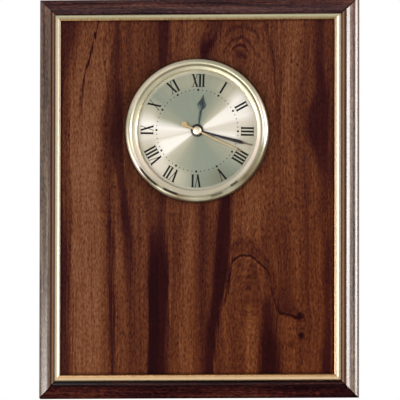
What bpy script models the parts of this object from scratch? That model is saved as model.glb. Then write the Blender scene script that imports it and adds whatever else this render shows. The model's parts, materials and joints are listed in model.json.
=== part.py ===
"""Wall clock plaque: a walnut board edged with mitred mouldings and gilt slips, with a round
quartz clock insert pressed into its bore.

The front faces -Y and the back lies in the plane y = 0. The origin is the centre of the back,
+X is to the right as the clock is read and +Z is up. Depths are measured back from the face of
the panel, so what stands proud of it has a negative depth.
"""

from math import atan2, cos, pi, radians, sin, sqrt

import bmesh
import bpy
from mathutils import Matrix, Vector

MM = 0.001

# Clearances
GAP = 0.3 * MM  # between glued, seated or stacked pieces
PRESS = 0.1 * MM  # between a hand or wheel and the pipe it is pressed on
RUNNING = 0.15 * MM  # between a turning arbor and its hole

# Plaque
PLAQUE_WIDTH = 203.2 * MM
PLAQUE_HEIGHT = 254.0 * MM
PLAQUE_THICKNESS = 19.05 * MM
FACE_THICKNESS = 0.9 * MM
LINER_THICKNESS = 0.7 * MM
LINER_WINDOW_CLEARANCE = 0.6 * MM

# Edge of the plaque, from the panel outwards
SLIP_WIDTH = 3.5 * MM
SLIP_DROP = 3.9 * MM
SLIP_SEAT_DEPTH = 5.6 * MM
LEDGE_WIDTH = 2.1 * MM
LEDGE_DEPTH = 4.2 * MM
COVE_WIDTH = 6.6 * MM
COVE_DROP = 3.7 * MM
RIM_WIDTH = 1.3 * MM
RIM_DROP = 0.9 * MM

# Wedge nails that hold the mitres
WEDGE_ARM = 4.6 * MM
WEDGE_SHEET = 0.8 * MM
WEDGE_HEIGHT = 8.0 * MM
WEDGE_RECESS = 0.6 * MM
WEDGE_OPENING = radians(84)

# Hanger on the back
HANGER_LENGTH = 44.0 * MM
HANGER_HEIGHT = 8.5 * MM
HANGER_SHEET = 0.8 * MM
HANGER_RISE = 1.3 * MM
HANGER_FOOT = 7.5 * MM
HANGER_TOOTH = 3.0 * MM
HANGER_TOOTH_HEIGHT = 1.8 * MM
HANGER_FROM_TOP = 24.5 * MM
NAIL_SHANK_RADIUS = 0.7 * MM
NAIL_HEAD_RADIUS = 1.7 * MM
NAIL_HEAD_HEIGHT = 0.6 * MM
NAIL_LENGTH = 10.0 * MM
NAIL_POINT = 1.4 * MM

# Felt bumpers at the lower corners of the back
BUMPER_RADIUS = 5.0 * MM
BUMPER_HEIGHT = 3.2 * MM
BUMPER_EDGE = 0.8 * MM
BUMPER_INSET = 21.0 * MM

# Clock insert
CLOCK_FROM_TOP = 85.0 * MM
BORE_DIAMETER = 79.4 * MM
CUP_CLEARANCE = 1.1 * MM
CUP_WALL = 2.4 * MM
CUP_BACK = 2.4 * MM
FLANGE_RADIUS = 42.8 * MM
FLANGE_THICKNESS = 1.0 * MM
BAND_GROOVE = 1.0 * MM
BAND_DEPTH = 2.6 * MM
BAND_WIDTH = 6.0 * MM
BAND_RIBS = 3
BAND_RIB_HEIGHT = 0.6 * MM
DIAL_THICKNESS = 0.4 * MM
REFLECTOR_HEIGHT = 2.0 * MM
REFLECTOR_DIAL_RADIUS = 38.3 * MM
REFLECTOR_GLASS_RADIUS = 39.2 * MM
CRYSTAL_THICKNESS = 1.2 * MM
CRYSTAL_CHAMFER = 0.4 * MM
BEZEL_RADIUS = 45.4 * MM
BEZEL_CROWN_RADIUS = 43.5 * MM
BEZEL_CROWN_RISE = 0.9 * MM
BEZEL_GROOVE_RADIUS = 41.4 * MM
BEZEL_LIP_RADIUS = 38.6 * MM
BEZEL_LIP_THICKNESS = 0.5 * MM

# Hands, at rest at seventeen minutes past twelve
REST_HOUR = 0
REST_MINUTE = 17
REST_SECOND = 19
INSERT_TURN = radians(1.3)
HAND_SHEET = 0.25 * MM
HAND_STEP = 0.3 * MM
HUB_OVERLAP = 0.4 * MM  # how far a blade reaches into its hub
HOUR_HAND_LENGTH = 24.2 * MM
HOUR_BULB_AT = 17.1 * MM
HOUR_BULB_LENGTH = 6.6 * MM
HOUR_BULB_WIDTH = 4.9 * MM
HOUR_SHAFT_WIDTH = 1.3 * MM
HOUR_HUB_RADIUS = 3.1 * MM
MINUTE_HAND_LENGTH = 36.6 * MM
MINUTE_SWELL_FROM = 17.4 * MM
MINUTE_SHOULDER_AT = 24.6 * MM
MINUTE_SHOULDER_WIDTH = 1.85 * MM
MINUTE_WIDEST_AT = 29.0 * MM
MINUTE_WIDEST = 2.2 * MM
MINUTE_NECK_AT = 31.5 * MM
MINUTE_NECK_WIDTH = 1.3 * MM
MINUTE_SHAFT_WIDTH = 1.3 * MM
MINUTE_HUB_RADIUS = 4.1 * MM
SECOND_HAND_LENGTH = 31.0 * MM
SECOND_HAND_WIDTH = 0.7 * MM
SECOND_TAIL_AT = 8.6 * MM
SECOND_TAIL_RADIUS = 1.9 * MM
SECOND_CAP_RADIUS = 2.7 * MM
SECOND_CAP_FLAT = 2.0 * MM
SECOND_CAP_HEIGHT = 0.5 * MM
TIP_WIDTH = 0.4 * MM

# Movement case
CASE_WIDTH = 50.0 * MM
CASE_HEIGHT = 44.0 * MM
CASE_CORNER = 4.0 * MM
CASE_WALL = 1.2 * MM
PLATE_THICKNESS = 1.0 * MM
BRIDGE_THICKNESS = 0.6 * MM
BRIDGE_MARGIN = 2.2 * MM
PILLAR_RADIUS = 1.2 * MM
POST_RADIUS = 1.0 * MM

# Gear train: tooth form in modules and shares of the pitch, teeth, and distances between arbors
TOOTH_BELOW = 1.15
TOOTH_ABOVE = 0.8
TOOTH_ROOT_SHARE = 0.29
TOOTH_TIP_SHARE = 0.1
SLEEVE_INSET = 0.02 * MM
PIVOT_DEPTH = 0.5 * MM
WHEEL_THICKNESS = 0.5 * MM
LAYER_GAP = 0.3 * MM
ARBOR_RADIUS = 0.5 * MM
PIPE_WALL = 0.58 * MM
SECOND_WHEEL_TEETH = 30
SECOND_PINION_TEETH = 6
THIRD_WHEEL_TEETH = 45
THIRD_PINION_TEETH = 6
MINUTE_WHEEL_TEETH = 48
CANNON_TEETH = 8
MOTION_WHEEL_TEETH = 24
MOTION_PINION_TEETH = 6
HOUR_WHEEL_TEETH = 24
STEP_WHEEL_TEETH = 36
STEP_PINION_TEETH = 6
ROTOR_PINION_TEETH = 6
THIRD_DISTANCE = 7.2 * MM
THIRD_DIRECTION = radians(30)
MOTION_DISTANCE = 7.6 * MM
MOTION_DIRECTION = radians(-90)
STEP_DISTANCE = 6.48 * MM
STEP_DIRECTION = radians(150)
ROTOR_DISTANCE = 4.9 * MM
ROTOR_DIRECTION = radians(180)

# Step motor
MAGNET_RADIUS = 2.6 * MM
MAGNET_HEIGHT = 1.8 * MM
STATOR_AIR_GAP = 0.5 * MM
STATOR_THICKNESS = 0.8 * MM
STATOR_HALF_WIDTH = 4.1 * MM
STATOR_BELOW = 13.2 * MM
STATOR_ABOVE = 10.8 * MM
STATOR_ARM = 3.5 * MM
COIL_FROM_ROTOR = 8.0 * MM
CORE_WIDTH = 1.4 * MM
CORE_THICKNESS = 0.8 * MM
SPOOL_BORE = 1.0 * MM
SPOOL_TUBE = 1.3 * MM
SPOOL_FLANGE = 2.3 * MM
SPOOL_FLANGE_THICKNESS = 0.6 * MM
WINDING_RADIUS = 2.1 * MM

# Circuit
BOARD_LEFT = 3.5 * MM
BOARD_BOTTOM = 5.6 * MM
BOARD_HEIGHT = 13.0 * MM
BOARD_THICKNESS = 0.8 * MM
QUARTZ_RADIUS = 1.0 * MM
QUARTZ_LENGTH = 6.2 * MM
QUARTZ_INSET = 3.0 * MM
POST_INSET = 2.0 * MM
CHIP_RADIUS = 2.6 * MM
CHIP_TOP_RADIUS = 2.1 * MM
CHIP_HEIGHT = 0.6 * MM

# Button cell and its door
CELL_RADIUS = 5.8 * MM
CELL_HEIGHT = 5.4 * MM
CELL_CAP_RADIUS = 4.6 * MM
CELL_CAP_HEIGHT = 1.1 * MM
CELL_FROM_SIDE = 9.0 * MM
CELL_FROM_BOTTOM = 11.0 * MM
CONTACT_SHEET = 0.3 * MM
CONTACT_WIDTH = 3.8 * MM
CONTACT_SPAN = radians(50)
DOOR_RADIUS = 8.2 * MM
DOOR_LIP = 0.6 * MM
DOOR_BOSS_RADIUS = 6.2 * MM
DOOR_TWIST = radians(35)
LUG_REACH = 1.0 * MM
LUG_WIDTH = 3.0 * MM
LUG_THICKNESS = 0.4 * MM
COIN_SLOT_LENGTH = 9.0 * MM
COIN_SLOT_WIDTH = 1.4 * MM
COIN_SLOT_DEPTH = 0.6 * MM

# Setting knob
KNOB_RADIUS = 5.0 * MM
KNOB_HEIGHT = 2.4 * MM
KNOB_FLUTES = 20
KNOB_FLUTE_DEPTH = 0.35 * MM
STEM_RADIUS = 1.2 * MM
KNOB_SOCKET = 1.2 * MM

# Case screws
SCREW_HEAD_RADIUS = 2.1 * MM
SCREW_HEAD_HEIGHT = 1.0 * MM
SCREW_SHANK_RADIUS = 0.8 * MM
SCREW_LENGTH = 5.0 * MM
SCREW_SLOT_WIDTH = 0.7 * MM
SCREW_SLOT_DEPTH = 0.5 * MM
SCREW_CHAMFER = 0.4 * MM
SCREW_INSET = 5.0 * MM
BOSS_RADIUS = 2.4 * MM

# Facets of a full turn, and of a moulded curve or a rounded corner
RIM_FACETS = 56
CUP_FACETS = 40
BUSH_FACETS = 24
SMALL_FACETS = 12
CURVE_STEPS = 6
CORNER_STEPS = 4
SHADE_ANGLE = radians(32)
MERGE_DISTANCE = 1e-7

# Worked out from the values above
BORDER = SLIP_WIDTH + LEDGE_WIDTH + COVE_WIDTH + RIM_WIDTH
PANEL_X = PLAQUE_WIDTH / 2 - BORDER
PANEL_Z = PLAQUE_HEIGHT / 2 - BORDER
CLOCK_Z = PLAQUE_HEIGHT / 2 - CLOCK_FROM_TOP
BOARD_REAR = PLAQUE_THICKNESS - LINER_THICKNESS - GAP
BORE_RADIUS = BORE_DIAMETER / 2
CUP_RADIUS = BORE_RADIUS - CUP_CLEARANCE
SEAT_RADIUS = FLANGE_RADIUS - GAP

FLANGE_FRONT = -GAP - FLANGE_THICKNESS
DIAL_BACK = FLANGE_FRONT - GAP
DIAL_FRONT = DIAL_BACK - DIAL_THICKNESS
REFLECTOR_BACK = DIAL_FRONT - GAP
REFLECTOR_FRONT = REFLECTOR_BACK - REFLECTOR_HEIGHT
CRYSTAL_BACK = REFLECTOR_FRONT - GAP
CRYSTAL_FRONT = CRYSTAL_BACK - CRYSTAL_THICKNESS
LIP_BACK = CRYSTAL_FRONT - GAP

HOUR_HAND_BACK = DIAL_FRONT - HAND_STEP
MINUTE_HAND_BACK = HOUR_HAND_BACK - HAND_SHEET - HAND_STEP
SECOND_HAND_BACK = MINUTE_HAND_BACK - HAND_SHEET - HAND_STEP

PLATE_FRONT = DIAL_BACK + GAP
PLATE_BACK = PLATE_FRONT + PLATE_THICKNESS
HOUR_LAYER = PLATE_BACK + LAYER_GAP
CANNON_LAYER = HOUR_LAYER + WHEEL_THICKNESS + LAYER_GAP
MINUTE_LAYER = CANNON_LAYER + WHEEL_THICKNESS + LAYER_GAP
BRIDGE_FRONT = MINUTE_LAYER + WHEEL_THICKNESS + LAYER_GAP
BRIDGE_BACK = BRIDGE_FRONT + BRIDGE_THICKNESS
THIRD_LAYER = BRIDGE_BACK + LAYER_GAP
SECOND_LAYER = THIRD_LAYER + WHEEL_THICKNESS + LAYER_GAP
STEP_LAYER = SECOND_LAYER + WHEEL_THICKNESS + LAYER_GAP
MAGNET_FRONT = STEP_LAYER + WHEEL_THICKNESS + LAYER_GAP
MAGNET_BACK = MAGNET_FRONT + MAGNET_HEIGHT
SHELL_INSIDE = MAGNET_BACK + LAYER_GAP
SHELL_BACK = SHELL_INSIDE + PLATE_THICKNESS
CUP_INSIDE = SHELL_BACK + GAP
CUP_OUTSIDE = CUP_INSIDE + CUP_BACK
PIVOT_BACK = SHELL_INSIDE + PIVOT_DEPTH

SECOND_ARBOR = ARBOR_RADIUS
MINUTE_PIPE_BORE = SECOND_ARBOR + RUNNING
MINUTE_PIPE = MINUTE_PIPE_BORE + PIPE_WALL
HOUR_PIPE_BORE = MINUTE_PIPE + RUNNING
HOUR_PIPE = HOUR_PIPE_BORE + PIPE_WALL

STATOR_FRONT = (MAGNET_FRONT + MAGNET_BACK - STATOR_THICKNESS) / 2
CORE_BACK = STATOR_FRONT - GAP
BOARD_FRONT = STEP_LAYER + WHEEL_THICKNESS + LAYER_GAP
BOARD_BACK = BOARD_FRONT + BOARD_THICKNESS
BOARD_RIGHT = CASE_WIDTH / 2 - SCREW_INSET - BOSS_RADIUS - 2 * GAP
CELL_AT = (CASE_WIDTH / 2 - CELL_FROM_SIDE, CELL_FROM_BOTTOM - CASE_HEIGHT / 2)
CELL_BACK = SHELL_BACK
CELL_FRONT = CELL_BACK - CELL_HEIGHT

WALNUT = ((0.16, 0.065, 0.035), 0.22, 0.0)
DARK_WALNUT = ((0.065, 0.028, 0.026), 0.2, 0.0)
FIBREBOARD = ((0.32, 0.22, 0.13), 0.8, 0.0)
BLACK_PAPER = ((0.03, 0.03, 0.03), 0.85, 0.0)
GILT = ((0.78, 0.6, 0.33), 0.3, 1.0)
BRASS = ((0.8, 0.66, 0.4), 0.25, 1.0)
PALE_GOLD = ((0.7, 0.66, 0.54), 0.32, 0.8)
STEEL = ((0.55, 0.55, 0.55), 0.35, 1.0)
IRON = ((0.3, 0.3, 0.31), 0.45, 1.0)
COPPER = ((0.72, 0.33, 0.16), 0.35, 1.0)
BLACK_PAINT = ((0.012, 0.012, 0.012), 0.3, 0.0)
BLACK_PLASTIC = ((0.02, 0.02, 0.022), 0.45, 0.0)
WHITE_PLASTIC = ((0.8, 0.79, 0.74), 0.5, 0.0)
GREY_PLASTIC = ((0.22, 0.23, 0.24), 0.5, 0.0)
GREEN_BOARD = ((0.03, 0.2, 0.08), 0.4, 0.0)
RUBBER = ((0.05, 0.05, 0.05), 0.7, 0.0)
FELT = ((0.05, 0.12, 0.07), 0.95, 0.0)
CLEAR_GLASS = ((0.93, 0.96, 0.95), 0.03, 0.0)


def clear_scene():
    for obj in list(bpy.data.objects):
        bpy.data.objects.remove(obj, do_unlink=True)


def back(depth):
    """The y of a point that lies this far behind the face of the panel."""
    return depth - PLAQUE_THICKNESS


def material_for(name, finish):
    colour, roughness, metallic = finish
    material = bpy.data.materials.new(name)
    material.use_nodes = True
    shader = material.node_tree.nodes["Principled BSDF"]
    shader.inputs["Base Color"].default_value = (*colour, 1.0)
    shader.inputs["Roughness"].default_value = roughness
    shader.inputs["Metallic"].default_value = metallic
    if finish is CLEAR_GLASS:
        shader.inputs["Transmission Weight"].default_value = 1.0
    return material


def finish_mesh(mesh_data, name):
    bmesh.ops.recalc_face_normals(mesh_data, faces=mesh_data.faces)
    mesh = bpy.data.meshes.new(name)
    mesh_data.to_mesh(mesh)
    mesh_data.free()
    mesh.shade_smooth()
    mesh.set_sharp_from_angle(angle=SHADE_ANGLE)
    return mesh


def add_object(name, mesh, finish, centre=None, at=(0.0, 0.0)):
    """Places a mesh whose local x and z are measured from its own axis."""
    obj = bpy.data.objects.new(name, mesh)
    bpy.context.scene.collection.objects.link(obj)
    if finish is None:
        obj.hide_render = True
        obj.display_type = "WIRE"
    else:
        mesh.materials.append(material_for(name + "_finish", finish))
    obj.parent = centre
    obj.location = (at[0], 0.0, at[1])
    return obj


def prism_mesh(name, outline, front, rear):
    """The outline, as (x, z) points, carried from one depth to another."""
    shape = bmesh.new()
    face = shape.faces.new([shape.verts.new((x, back(front), z)) for x, z in outline])
    grown = bmesh.ops.extrude_face_region(shape, geom=[face])
    moved = [item for item in grown["geom"] if isinstance(item, bmesh.types.BMVert)]
    bmesh.ops.translate(shape, verts=moved, vec=(0.0, rear - front, 0.0))
    return finish_mesh(shape, name)


def turned_mesh(name, profile, facets=SMALL_FACETS):
    """The closed profile, as (radius, depth) points, turned about the local Y axis."""
    shape = bmesh.new()
    points = [shape.verts.new((radius, back(depth), 0.0)) for radius, depth in profile]
    edges = [shape.edges.new(pair) for pair in zip(points, points[1:] + points[:1])]
    bmesh.ops.spin(
        shape,
        geom=points + edges,
        cent=(0.0, 0.0, 0.0),
        axis=(0.0, 1.0, 0.0),
        angle=2 * pi,
        steps=facets,
        use_merge=True,
    )
    bmesh.ops.remove_doubles(shape, verts=shape.verts, dist=MERGE_DISTANCE)
    bmesh.ops.dissolve_degenerate(shape, edges=shape.edges, dist=MERGE_DISTANCE / 10)
    loose = [edge for edge in shape.edges if not edge.link_faces]
    bmesh.ops.delete(shape, geom=loose, context="EDGES")
    return finish_mesh(shape, name)


def disc_profile(radius, front, rear):
    return [(0.0, front), (radius, front), (radius, rear), (0.0, rear)]


def ring_profile(inner, outer, front, rear):
    return [(inner, front), (outer, front), (outer, rear), (inner, rear)]


def boolean(obj, tool, operation):
    modifier = obj.modifiers.new(operation.lower() + "_" + tool.name, "BOOLEAN")
    modifier.operation = operation
    modifier.solver = "EXACT"
    modifier.object = tool


def cut(obj, name, mesh, centre=None, at=(0.0, 0.0)):
    boolean(obj, add_object(name + "_cutter", mesh, None, centre, at), "DIFFERENCE")


def fuse(obj, name, mesh, centre=None, at=(0.0, 0.0)):
    boolean(obj, add_object(name + "_lump", mesh, None, centre, at), "UNION")


def drill(obj, name, radius, front, rear, centre=None, at=(0.0, 0.0), facets=SMALL_FACETS):
    cut(obj, name, turned_mesh(name, disc_profile(radius, front, rear), facets), centre, at)


def arc(centre, radii, start, end, steps):
    """Points on an ellipse between two angles, both ends included."""
    turn = [start + (end - start) * step / steps for step in range(steps + 1)]
    return [(centre[0] + radii[0] * cos(a), centre[1] + radii[1] * sin(a)) for a in turn]


def rectangle(left, right, bottom, top):
    return [(left, bottom), (right, bottom), (right, top), (left, top)]


def rounded_rectangle(width, height, corner):
    x = width / 2 - corner
    z = height / 2 - corner
    outline = []
    for quarter, (cx, cz) in enumerate([(x, z), (-x, z), (-x, -z), (x, -z)]):
        start = quarter * pi / 2
        outline += arc((cx, cz), (corner, corner), start, start + pi / 2, CORNER_STEPS)
    return outline


def polar(distance, direction, origin=(0.0, 0.0)):
    return (
        origin[0] + distance * cos(direction),
        origin[1] + distance * sin(direction),
    )


# Plaque


def slip_profile():
    """The gilt slip: a quarter bead that falls away from the panel, as (outwards, depth)."""
    seat = SLIP_SEAT_DEPTH - GAP
    bead = arc(
        (GAP, SLIP_DROP), (SLIP_WIDTH - GAP, SLIP_DROP), -pi / 2, 0.0, CURVE_STEPS
    )
    return bead + [(SLIP_WIDTH, seat), (GAP, seat)]


def moulding_profile():
    """Ledge, cove and rim of the edge moulding, with the rebate that the slip sits in."""
    cove_start = SLIP_WIDTH + LEDGE_WIDTH
    cove_end = cove_start + COVE_WIDTH
    cove_bottom = LEDGE_DEPTH + COVE_DROP
    cove = arc(
        (cove_end, LEDGE_DEPTH), (COVE_WIDTH, COVE_DROP), pi, pi / 2, CURVE_STEPS
    )
    rim = arc(
        (cove_end, cove_bottom + RIM_DROP), (RIM_WIDTH, RIM_DROP), -pi / 2, 0.0, CURVE_STEPS
    )
    return (
        [(GAP, PLAQUE_THICKNESS), (GAP, SLIP_SEAT_DEPTH)]
        + [(SLIP_WIDTH + GAP, SLIP_SEAT_DEPTH), (SLIP_WIDTH + GAP, LEDGE_DEPTH)]
        + cove
        + rim[1:]
        + [(BORDER, PLAQUE_THICKNESS)]
    )


SIDES = ("top", "left", "bottom", "right")


def mitred_strip(name, profile, side):
    """Runs the profile along one side of the panel, with both ends cut at 45 degrees."""
    quarter = SIDES.index(side)
    half_run, offset = (PANEL_X, PANEL_Z) if side in ("top", "bottom") else (PANEL_Z, PANEL_X)
    mitre = GAP / 2 * sqrt(2)
    shape = bmesh.new()
    ends = [
        [
            shape.verts.new((hand * (half_run + out - mitre), back(depth), offset + out))
            for out, depth in profile
        ]
        for hand in (-1, 1)
    ]
    for end in ends:
        shape.faces.new(end)
    bmesh.ops.bridge_loops(shape, edges=shape.edges)
    turn = Matrix.Rotation(-quarter * pi / 2, 4, "Y")
    bmesh.ops.transform(shape, matrix=turn, verts=shape.verts)
    return finish_mesh(shape, name)


def wedge_outline(grow):
    """A V seen from behind, with its point on the mitre, grown by a clearance."""
    half = WEDGE_OPENING / 2
    sheet = WEDGE_SHEET / 2 + grow
    reach = WEDGE_ARM + grow
    outline = [(0.0, -sheet / sin(half))]
    for hand in (1, -1):
        along = Vector((sin(half) * hand, cos(half)))
        across = Vector((cos(half) * hand, -sin(half)))
        corners = [along * reach + across * sheet, along * reach - across * sheet]
        outline += [tuple(p) for p in (corners if hand == 1 else reversed(corners))]
        if hand == 1:
            outline.append((0.0, sheet / sin(half)))
    return outline


def wedge_mesh(name, grow, corner_x, corner_z):
    """The wedge, or its slot, turned so that it opens towards the plaque's corner."""
    middle = BORDER / 2 - WEDGE_ARM / 2
    turn = atan2(corner_z, corner_x) - pi / 2
    centre = Vector((corner_x * (PANEL_X + middle), corner_z * (PANEL_Z + middle)))
    outline = [centre + Matrix.Rotation(turn, 2) @ Vector(p) for p in wedge_outline(grow)]
    end = PLAQUE_THICKNESS - WEDGE_RECESS
    rear = end + (WEDGE_RECESS + GAP if grow else 0.0)
    return prism_mesh(name, [tuple(p) for p in outline], end - WEDGE_HEIGHT - grow, rear)


def make_plaque():
    bore_end = PLAQUE_THICKNESS + GAP
    panel = rectangle(-PANEL_X, PANEL_X, -PANEL_Z, PANEL_Z)
    core_front = FACE_THICKNESS + GAP
    layers = {
        "face_veneer": (0.0, FACE_THICKNESS, WALNUT),
        "core_board": (core_front, BOARD_REAR, FIBREBOARD),
        "back_liner": (BOARD_REAR + GAP, PLAQUE_THICKNESS, BLACK_PAPER),
    }
    sheets = {}
    for name, (front, rear, finish) in layers.items():
        sheet = add_object(name, prism_mesh(name, panel, front, rear), finish)
        drill(
            sheet, name + "_bore", BORE_RADIUS, -GAP, bore_end,
            at=(0.0, CLOCK_Z), facets=RIM_FACETS,
        )
        sheets[name] = sheet
    edging = {}
    for side in SIDES:
        name = "moulding_" + side
        edging[side] = add_object(
            name, mitred_strip(name, moulding_profile(), side), DARK_WALNUT
        )
        name = "gilt_slip_" + side
        add_object(name, mitred_strip(name, slip_profile(), side), GILT)
    for z_name, corner_z in (("top", 1), ("bottom", -1)):
        for x_name, corner_x in (("left", -1), ("right", 1)):
            name = "mitre_wedge_" + z_name + "_" + x_name
            add_object(name, wedge_mesh(name, 0.0, corner_x, corner_z), STEEL)
            for side in (z_name, x_name):
                slot = name + "_" + side
                cut(edging[side], slot, wedge_mesh(slot, GAP, corner_x, corner_z))
    return sheets


def hanger_section():
    """The strip seen from above: a raised middle between two feet, as (x, depth)."""
    half = HANGER_LENGTH / 2
    foot = half - HANGER_FOOT
    bend = HANGER_RISE
    low = BOARD_REAR + GAP
    near = [(-half, low), (-foot, low), (-foot + bend, low + HANGER_RISE)]
    near += [(-x, depth) for x, depth in reversed(near)]
    return near + [(x, depth + HANGER_SHEET) for x, depth in reversed(near)]


def make_hanger(sheets):
    top = PLAQUE_HEIGHT / 2 - HANGER_FROM_TOP + HANGER_HEIGHT / 2
    bottom = top - HANGER_HEIGHT
    shape = bmesh.new()
    section = [shape.verts.new((x, back(depth), bottom)) for x, depth in hanger_section()]
    grown = bmesh.ops.extrude_face_region(shape, geom=[shape.faces.new(section)])
    moved = [item for item in grown["geom"] if isinstance(item, bmesh.types.BMVert)]
    bmesh.ops.translate(shape, verts=moved, vec=(0.0, 0.0, HANGER_HEIGHT))
    hanger = add_object("sawtooth_hanger", finish_mesh(shape, "sawtooth_hanger"), STEEL)

    toothed = HANGER_LENGTH / 2 - HANGER_FOOT - HANGER_RISE - HANGER_SHEET
    pairs = int(toothed / HANGER_TOOTH)
    start = -pairs * HANGER_TOOTH
    saw = [(start, bottom - GAP)]
    for tooth in range(2 * pairs):
        x = start + tooth * HANGER_TOOTH
        saw += [(x + HANGER_TOOTH / 2, bottom + HANGER_TOOTH_HEIGHT)]
        saw += [(x + HANGER_TOOTH, bottom - GAP)]
    below = bottom - HANGER_TOOTH_HEIGHT
    saw += [(-start, below), (start, below)]
    saw_rear = BOARD_REAR + GAP + HANGER_RISE + 2 * HANGER_SHEET
    cut(hanger, "hanger_teeth", prism_mesh("hanger_teeth", saw, BOARD_REAR, saw_rear))
    side = HANGER_LENGTH / 2 + LINER_WINDOW_CLEARANCE
    window = rectangle(
        -side, side, bottom - LINER_WINDOW_CLEARANCE, top + LINER_WINDOW_CLEARANCE
    )
    cut(
        sheets["back_liner"], "hanger_window",
        prism_mesh("hanger_window", window, BOARD_REAR, PLAQUE_THICKNESS + GAP),
    )

    nail_x = (HANGER_LENGTH - HANGER_FOOT) / 2
    seat = BOARD_REAR + GAP + HANGER_SHEET + GAP
    hole = NAIL_SHANK_RADIUS + GAP
    for hand, side in ((-1, "left"), (1, "right")):
        place = (hand * nail_x, (top + bottom) / 2)
        name = "hanger_nail_" + side
        profile = [
            (0.0, seat - NAIL_LENGTH),
            (NAIL_SHANK_RADIUS, seat - NAIL_LENGTH + NAIL_POINT),
            (NAIL_SHANK_RADIUS, seat),
            (NAIL_HEAD_RADIUS, seat),
            (NAIL_HEAD_RADIUS, seat + NAIL_HEAD_HEIGHT / 2),
            (0.0, seat + NAIL_HEAD_HEIGHT),
        ]
        add_object(name, turned_mesh(name, profile), STEEL, at=place)
        drill(hanger, name + "_hole", hole, BOARD_REAR, seat + GAP, at=place)
        drill(
            sheets["core_board"], name + "_pilot", hole,
            seat - NAIL_LENGTH - GAP, BOARD_REAR + GAP, at=place,
        )


def make_bumpers(sheets):
    seat = BOARD_REAR + GAP
    rear = seat + BUMPER_HEIGHT
    edge = arc(
        (BUMPER_RADIUS - BUMPER_EDGE, rear - BUMPER_EDGE), (BUMPER_EDGE, BUMPER_EDGE),
        0.0, pi / 2, CORNER_STEPS,
    )
    profile = [(0.0, seat), (BUMPER_RADIUS, seat)] + edge + [(0.0, rear)]
    for hand, side in ((-1, "left"), (1, "right")):
        name = "wall_bumper_" + side
        place = (
            hand * (PLAQUE_WIDTH / 2 - BUMPER_INSET),
            BUMPER_INSET - PLAQUE_HEIGHT / 2,
        )
        add_object(name, turned_mesh(name, profile, BUSH_FACETS), FELT, at=place)
        drill(
            sheets["back_liner"], name + "_window", BUMPER_RADIUS + LINER_WINDOW_CLEARANCE,
            BOARD_REAR, PLAQUE_THICKNESS + GAP, at=place, facets=BUSH_FACETS,
        )


# Clock insert


def bezel_profile():
    """The turned bezel: a rolled crown, a fine groove and a lip over the crystal."""
    lip_front = LIP_BACK - BEZEL_LIP_THICKNESS
    crown = lip_front - BEZEL_CROWN_RISE
    roll = BEZEL_RADIUS - BEZEL_CROWN_RADIUS
    outside = arc(
        (BEZEL_CROWN_RADIUS, crown + roll), (roll, roll), 0.0, -pi / 2, CORNER_STEPS
    )
    inside = arc(
        (BEZEL_CROWN_RADIUS, lip_front),
        (BEZEL_CROWN_RADIUS - BEZEL_GROOVE_RADIUS, BEZEL_CROWN_RISE),
        -pi / 2, -pi, CORNER_STEPS - 1,
    )
    skirt = FLANGE_RADIUS + GAP
    return (
        [(BEZEL_RADIUS, -GAP)]
        + outside
        + inside[1:]
        + [(BEZEL_GROOVE_RADIUS - BEZEL_LIP_THICKNESS, lip_front - BEZEL_LIP_THICKNESS / 2)]
        + [(BEZEL_LIP_RADIUS, LIP_BACK - BEZEL_LIP_THICKNESS / 2)]
        + [(BEZEL_LIP_RADIUS, LIP_BACK), (skirt, LIP_BACK), (skirt, -GAP)]
    )


def crystal_profile():
    edge = SEAT_RADIUS
    return [
        (0.0, CRYSTAL_FRONT),
        (edge - CRYSTAL_CHAMFER, CRYSTAL_FRONT),
        (edge, CRYSTAL_FRONT + CRYSTAL_CHAMFER),
        (edge, CRYSTAL_BACK),
        (0.0, CRYSTAL_BACK),
    ]


def cup_profile():
    inner = CUP_RADIUS - CUP_WALL
    groove = CUP_RADIUS - BAND_GROOVE
    band_end = BAND_DEPTH + BAND_WIDTH
    return [
        (inner, FLANGE_FRONT),
        (FLANGE_RADIUS, FLANGE_FRONT),
        (FLANGE_RADIUS, -GAP),
        (CUP_RADIUS, -GAP),
        (CUP_RADIUS, BAND_DEPTH),
        (groove, BAND_DEPTH),
        (groove, band_end),
        (CUP_RADIUS, band_end),
        (CUP_RADIUS, CUP_OUTSIDE - CUP_BACK),
        (CUP_RADIUS - CUP_BACK, CUP_OUTSIDE),
        (0.0, CUP_OUTSIDE),
        (0.0, CUP_INSIDE),
        (inner, CUP_INSIDE),
    ]


def band_profile():
    inner = CUP_RADIUS - BAND_GROOVE + PRESS
    outer = BORE_RADIUS - GAP
    front = BAND_DEPTH + GAP
    rear = BAND_DEPTH + BAND_WIDTH - GAP
    pitch = (rear - front) / (2 * BAND_RIBS)
    profile = [(inner, front)]
    for rib in range(BAND_RIBS):
        start = front + 2 * rib * pitch
        profile += [(outer - BAND_RIB_HEIGHT, start), (outer, start + pitch)]
    return profile + [(outer - BAND_RIB_HEIGHT, rear), (inner, rear)]


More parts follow.
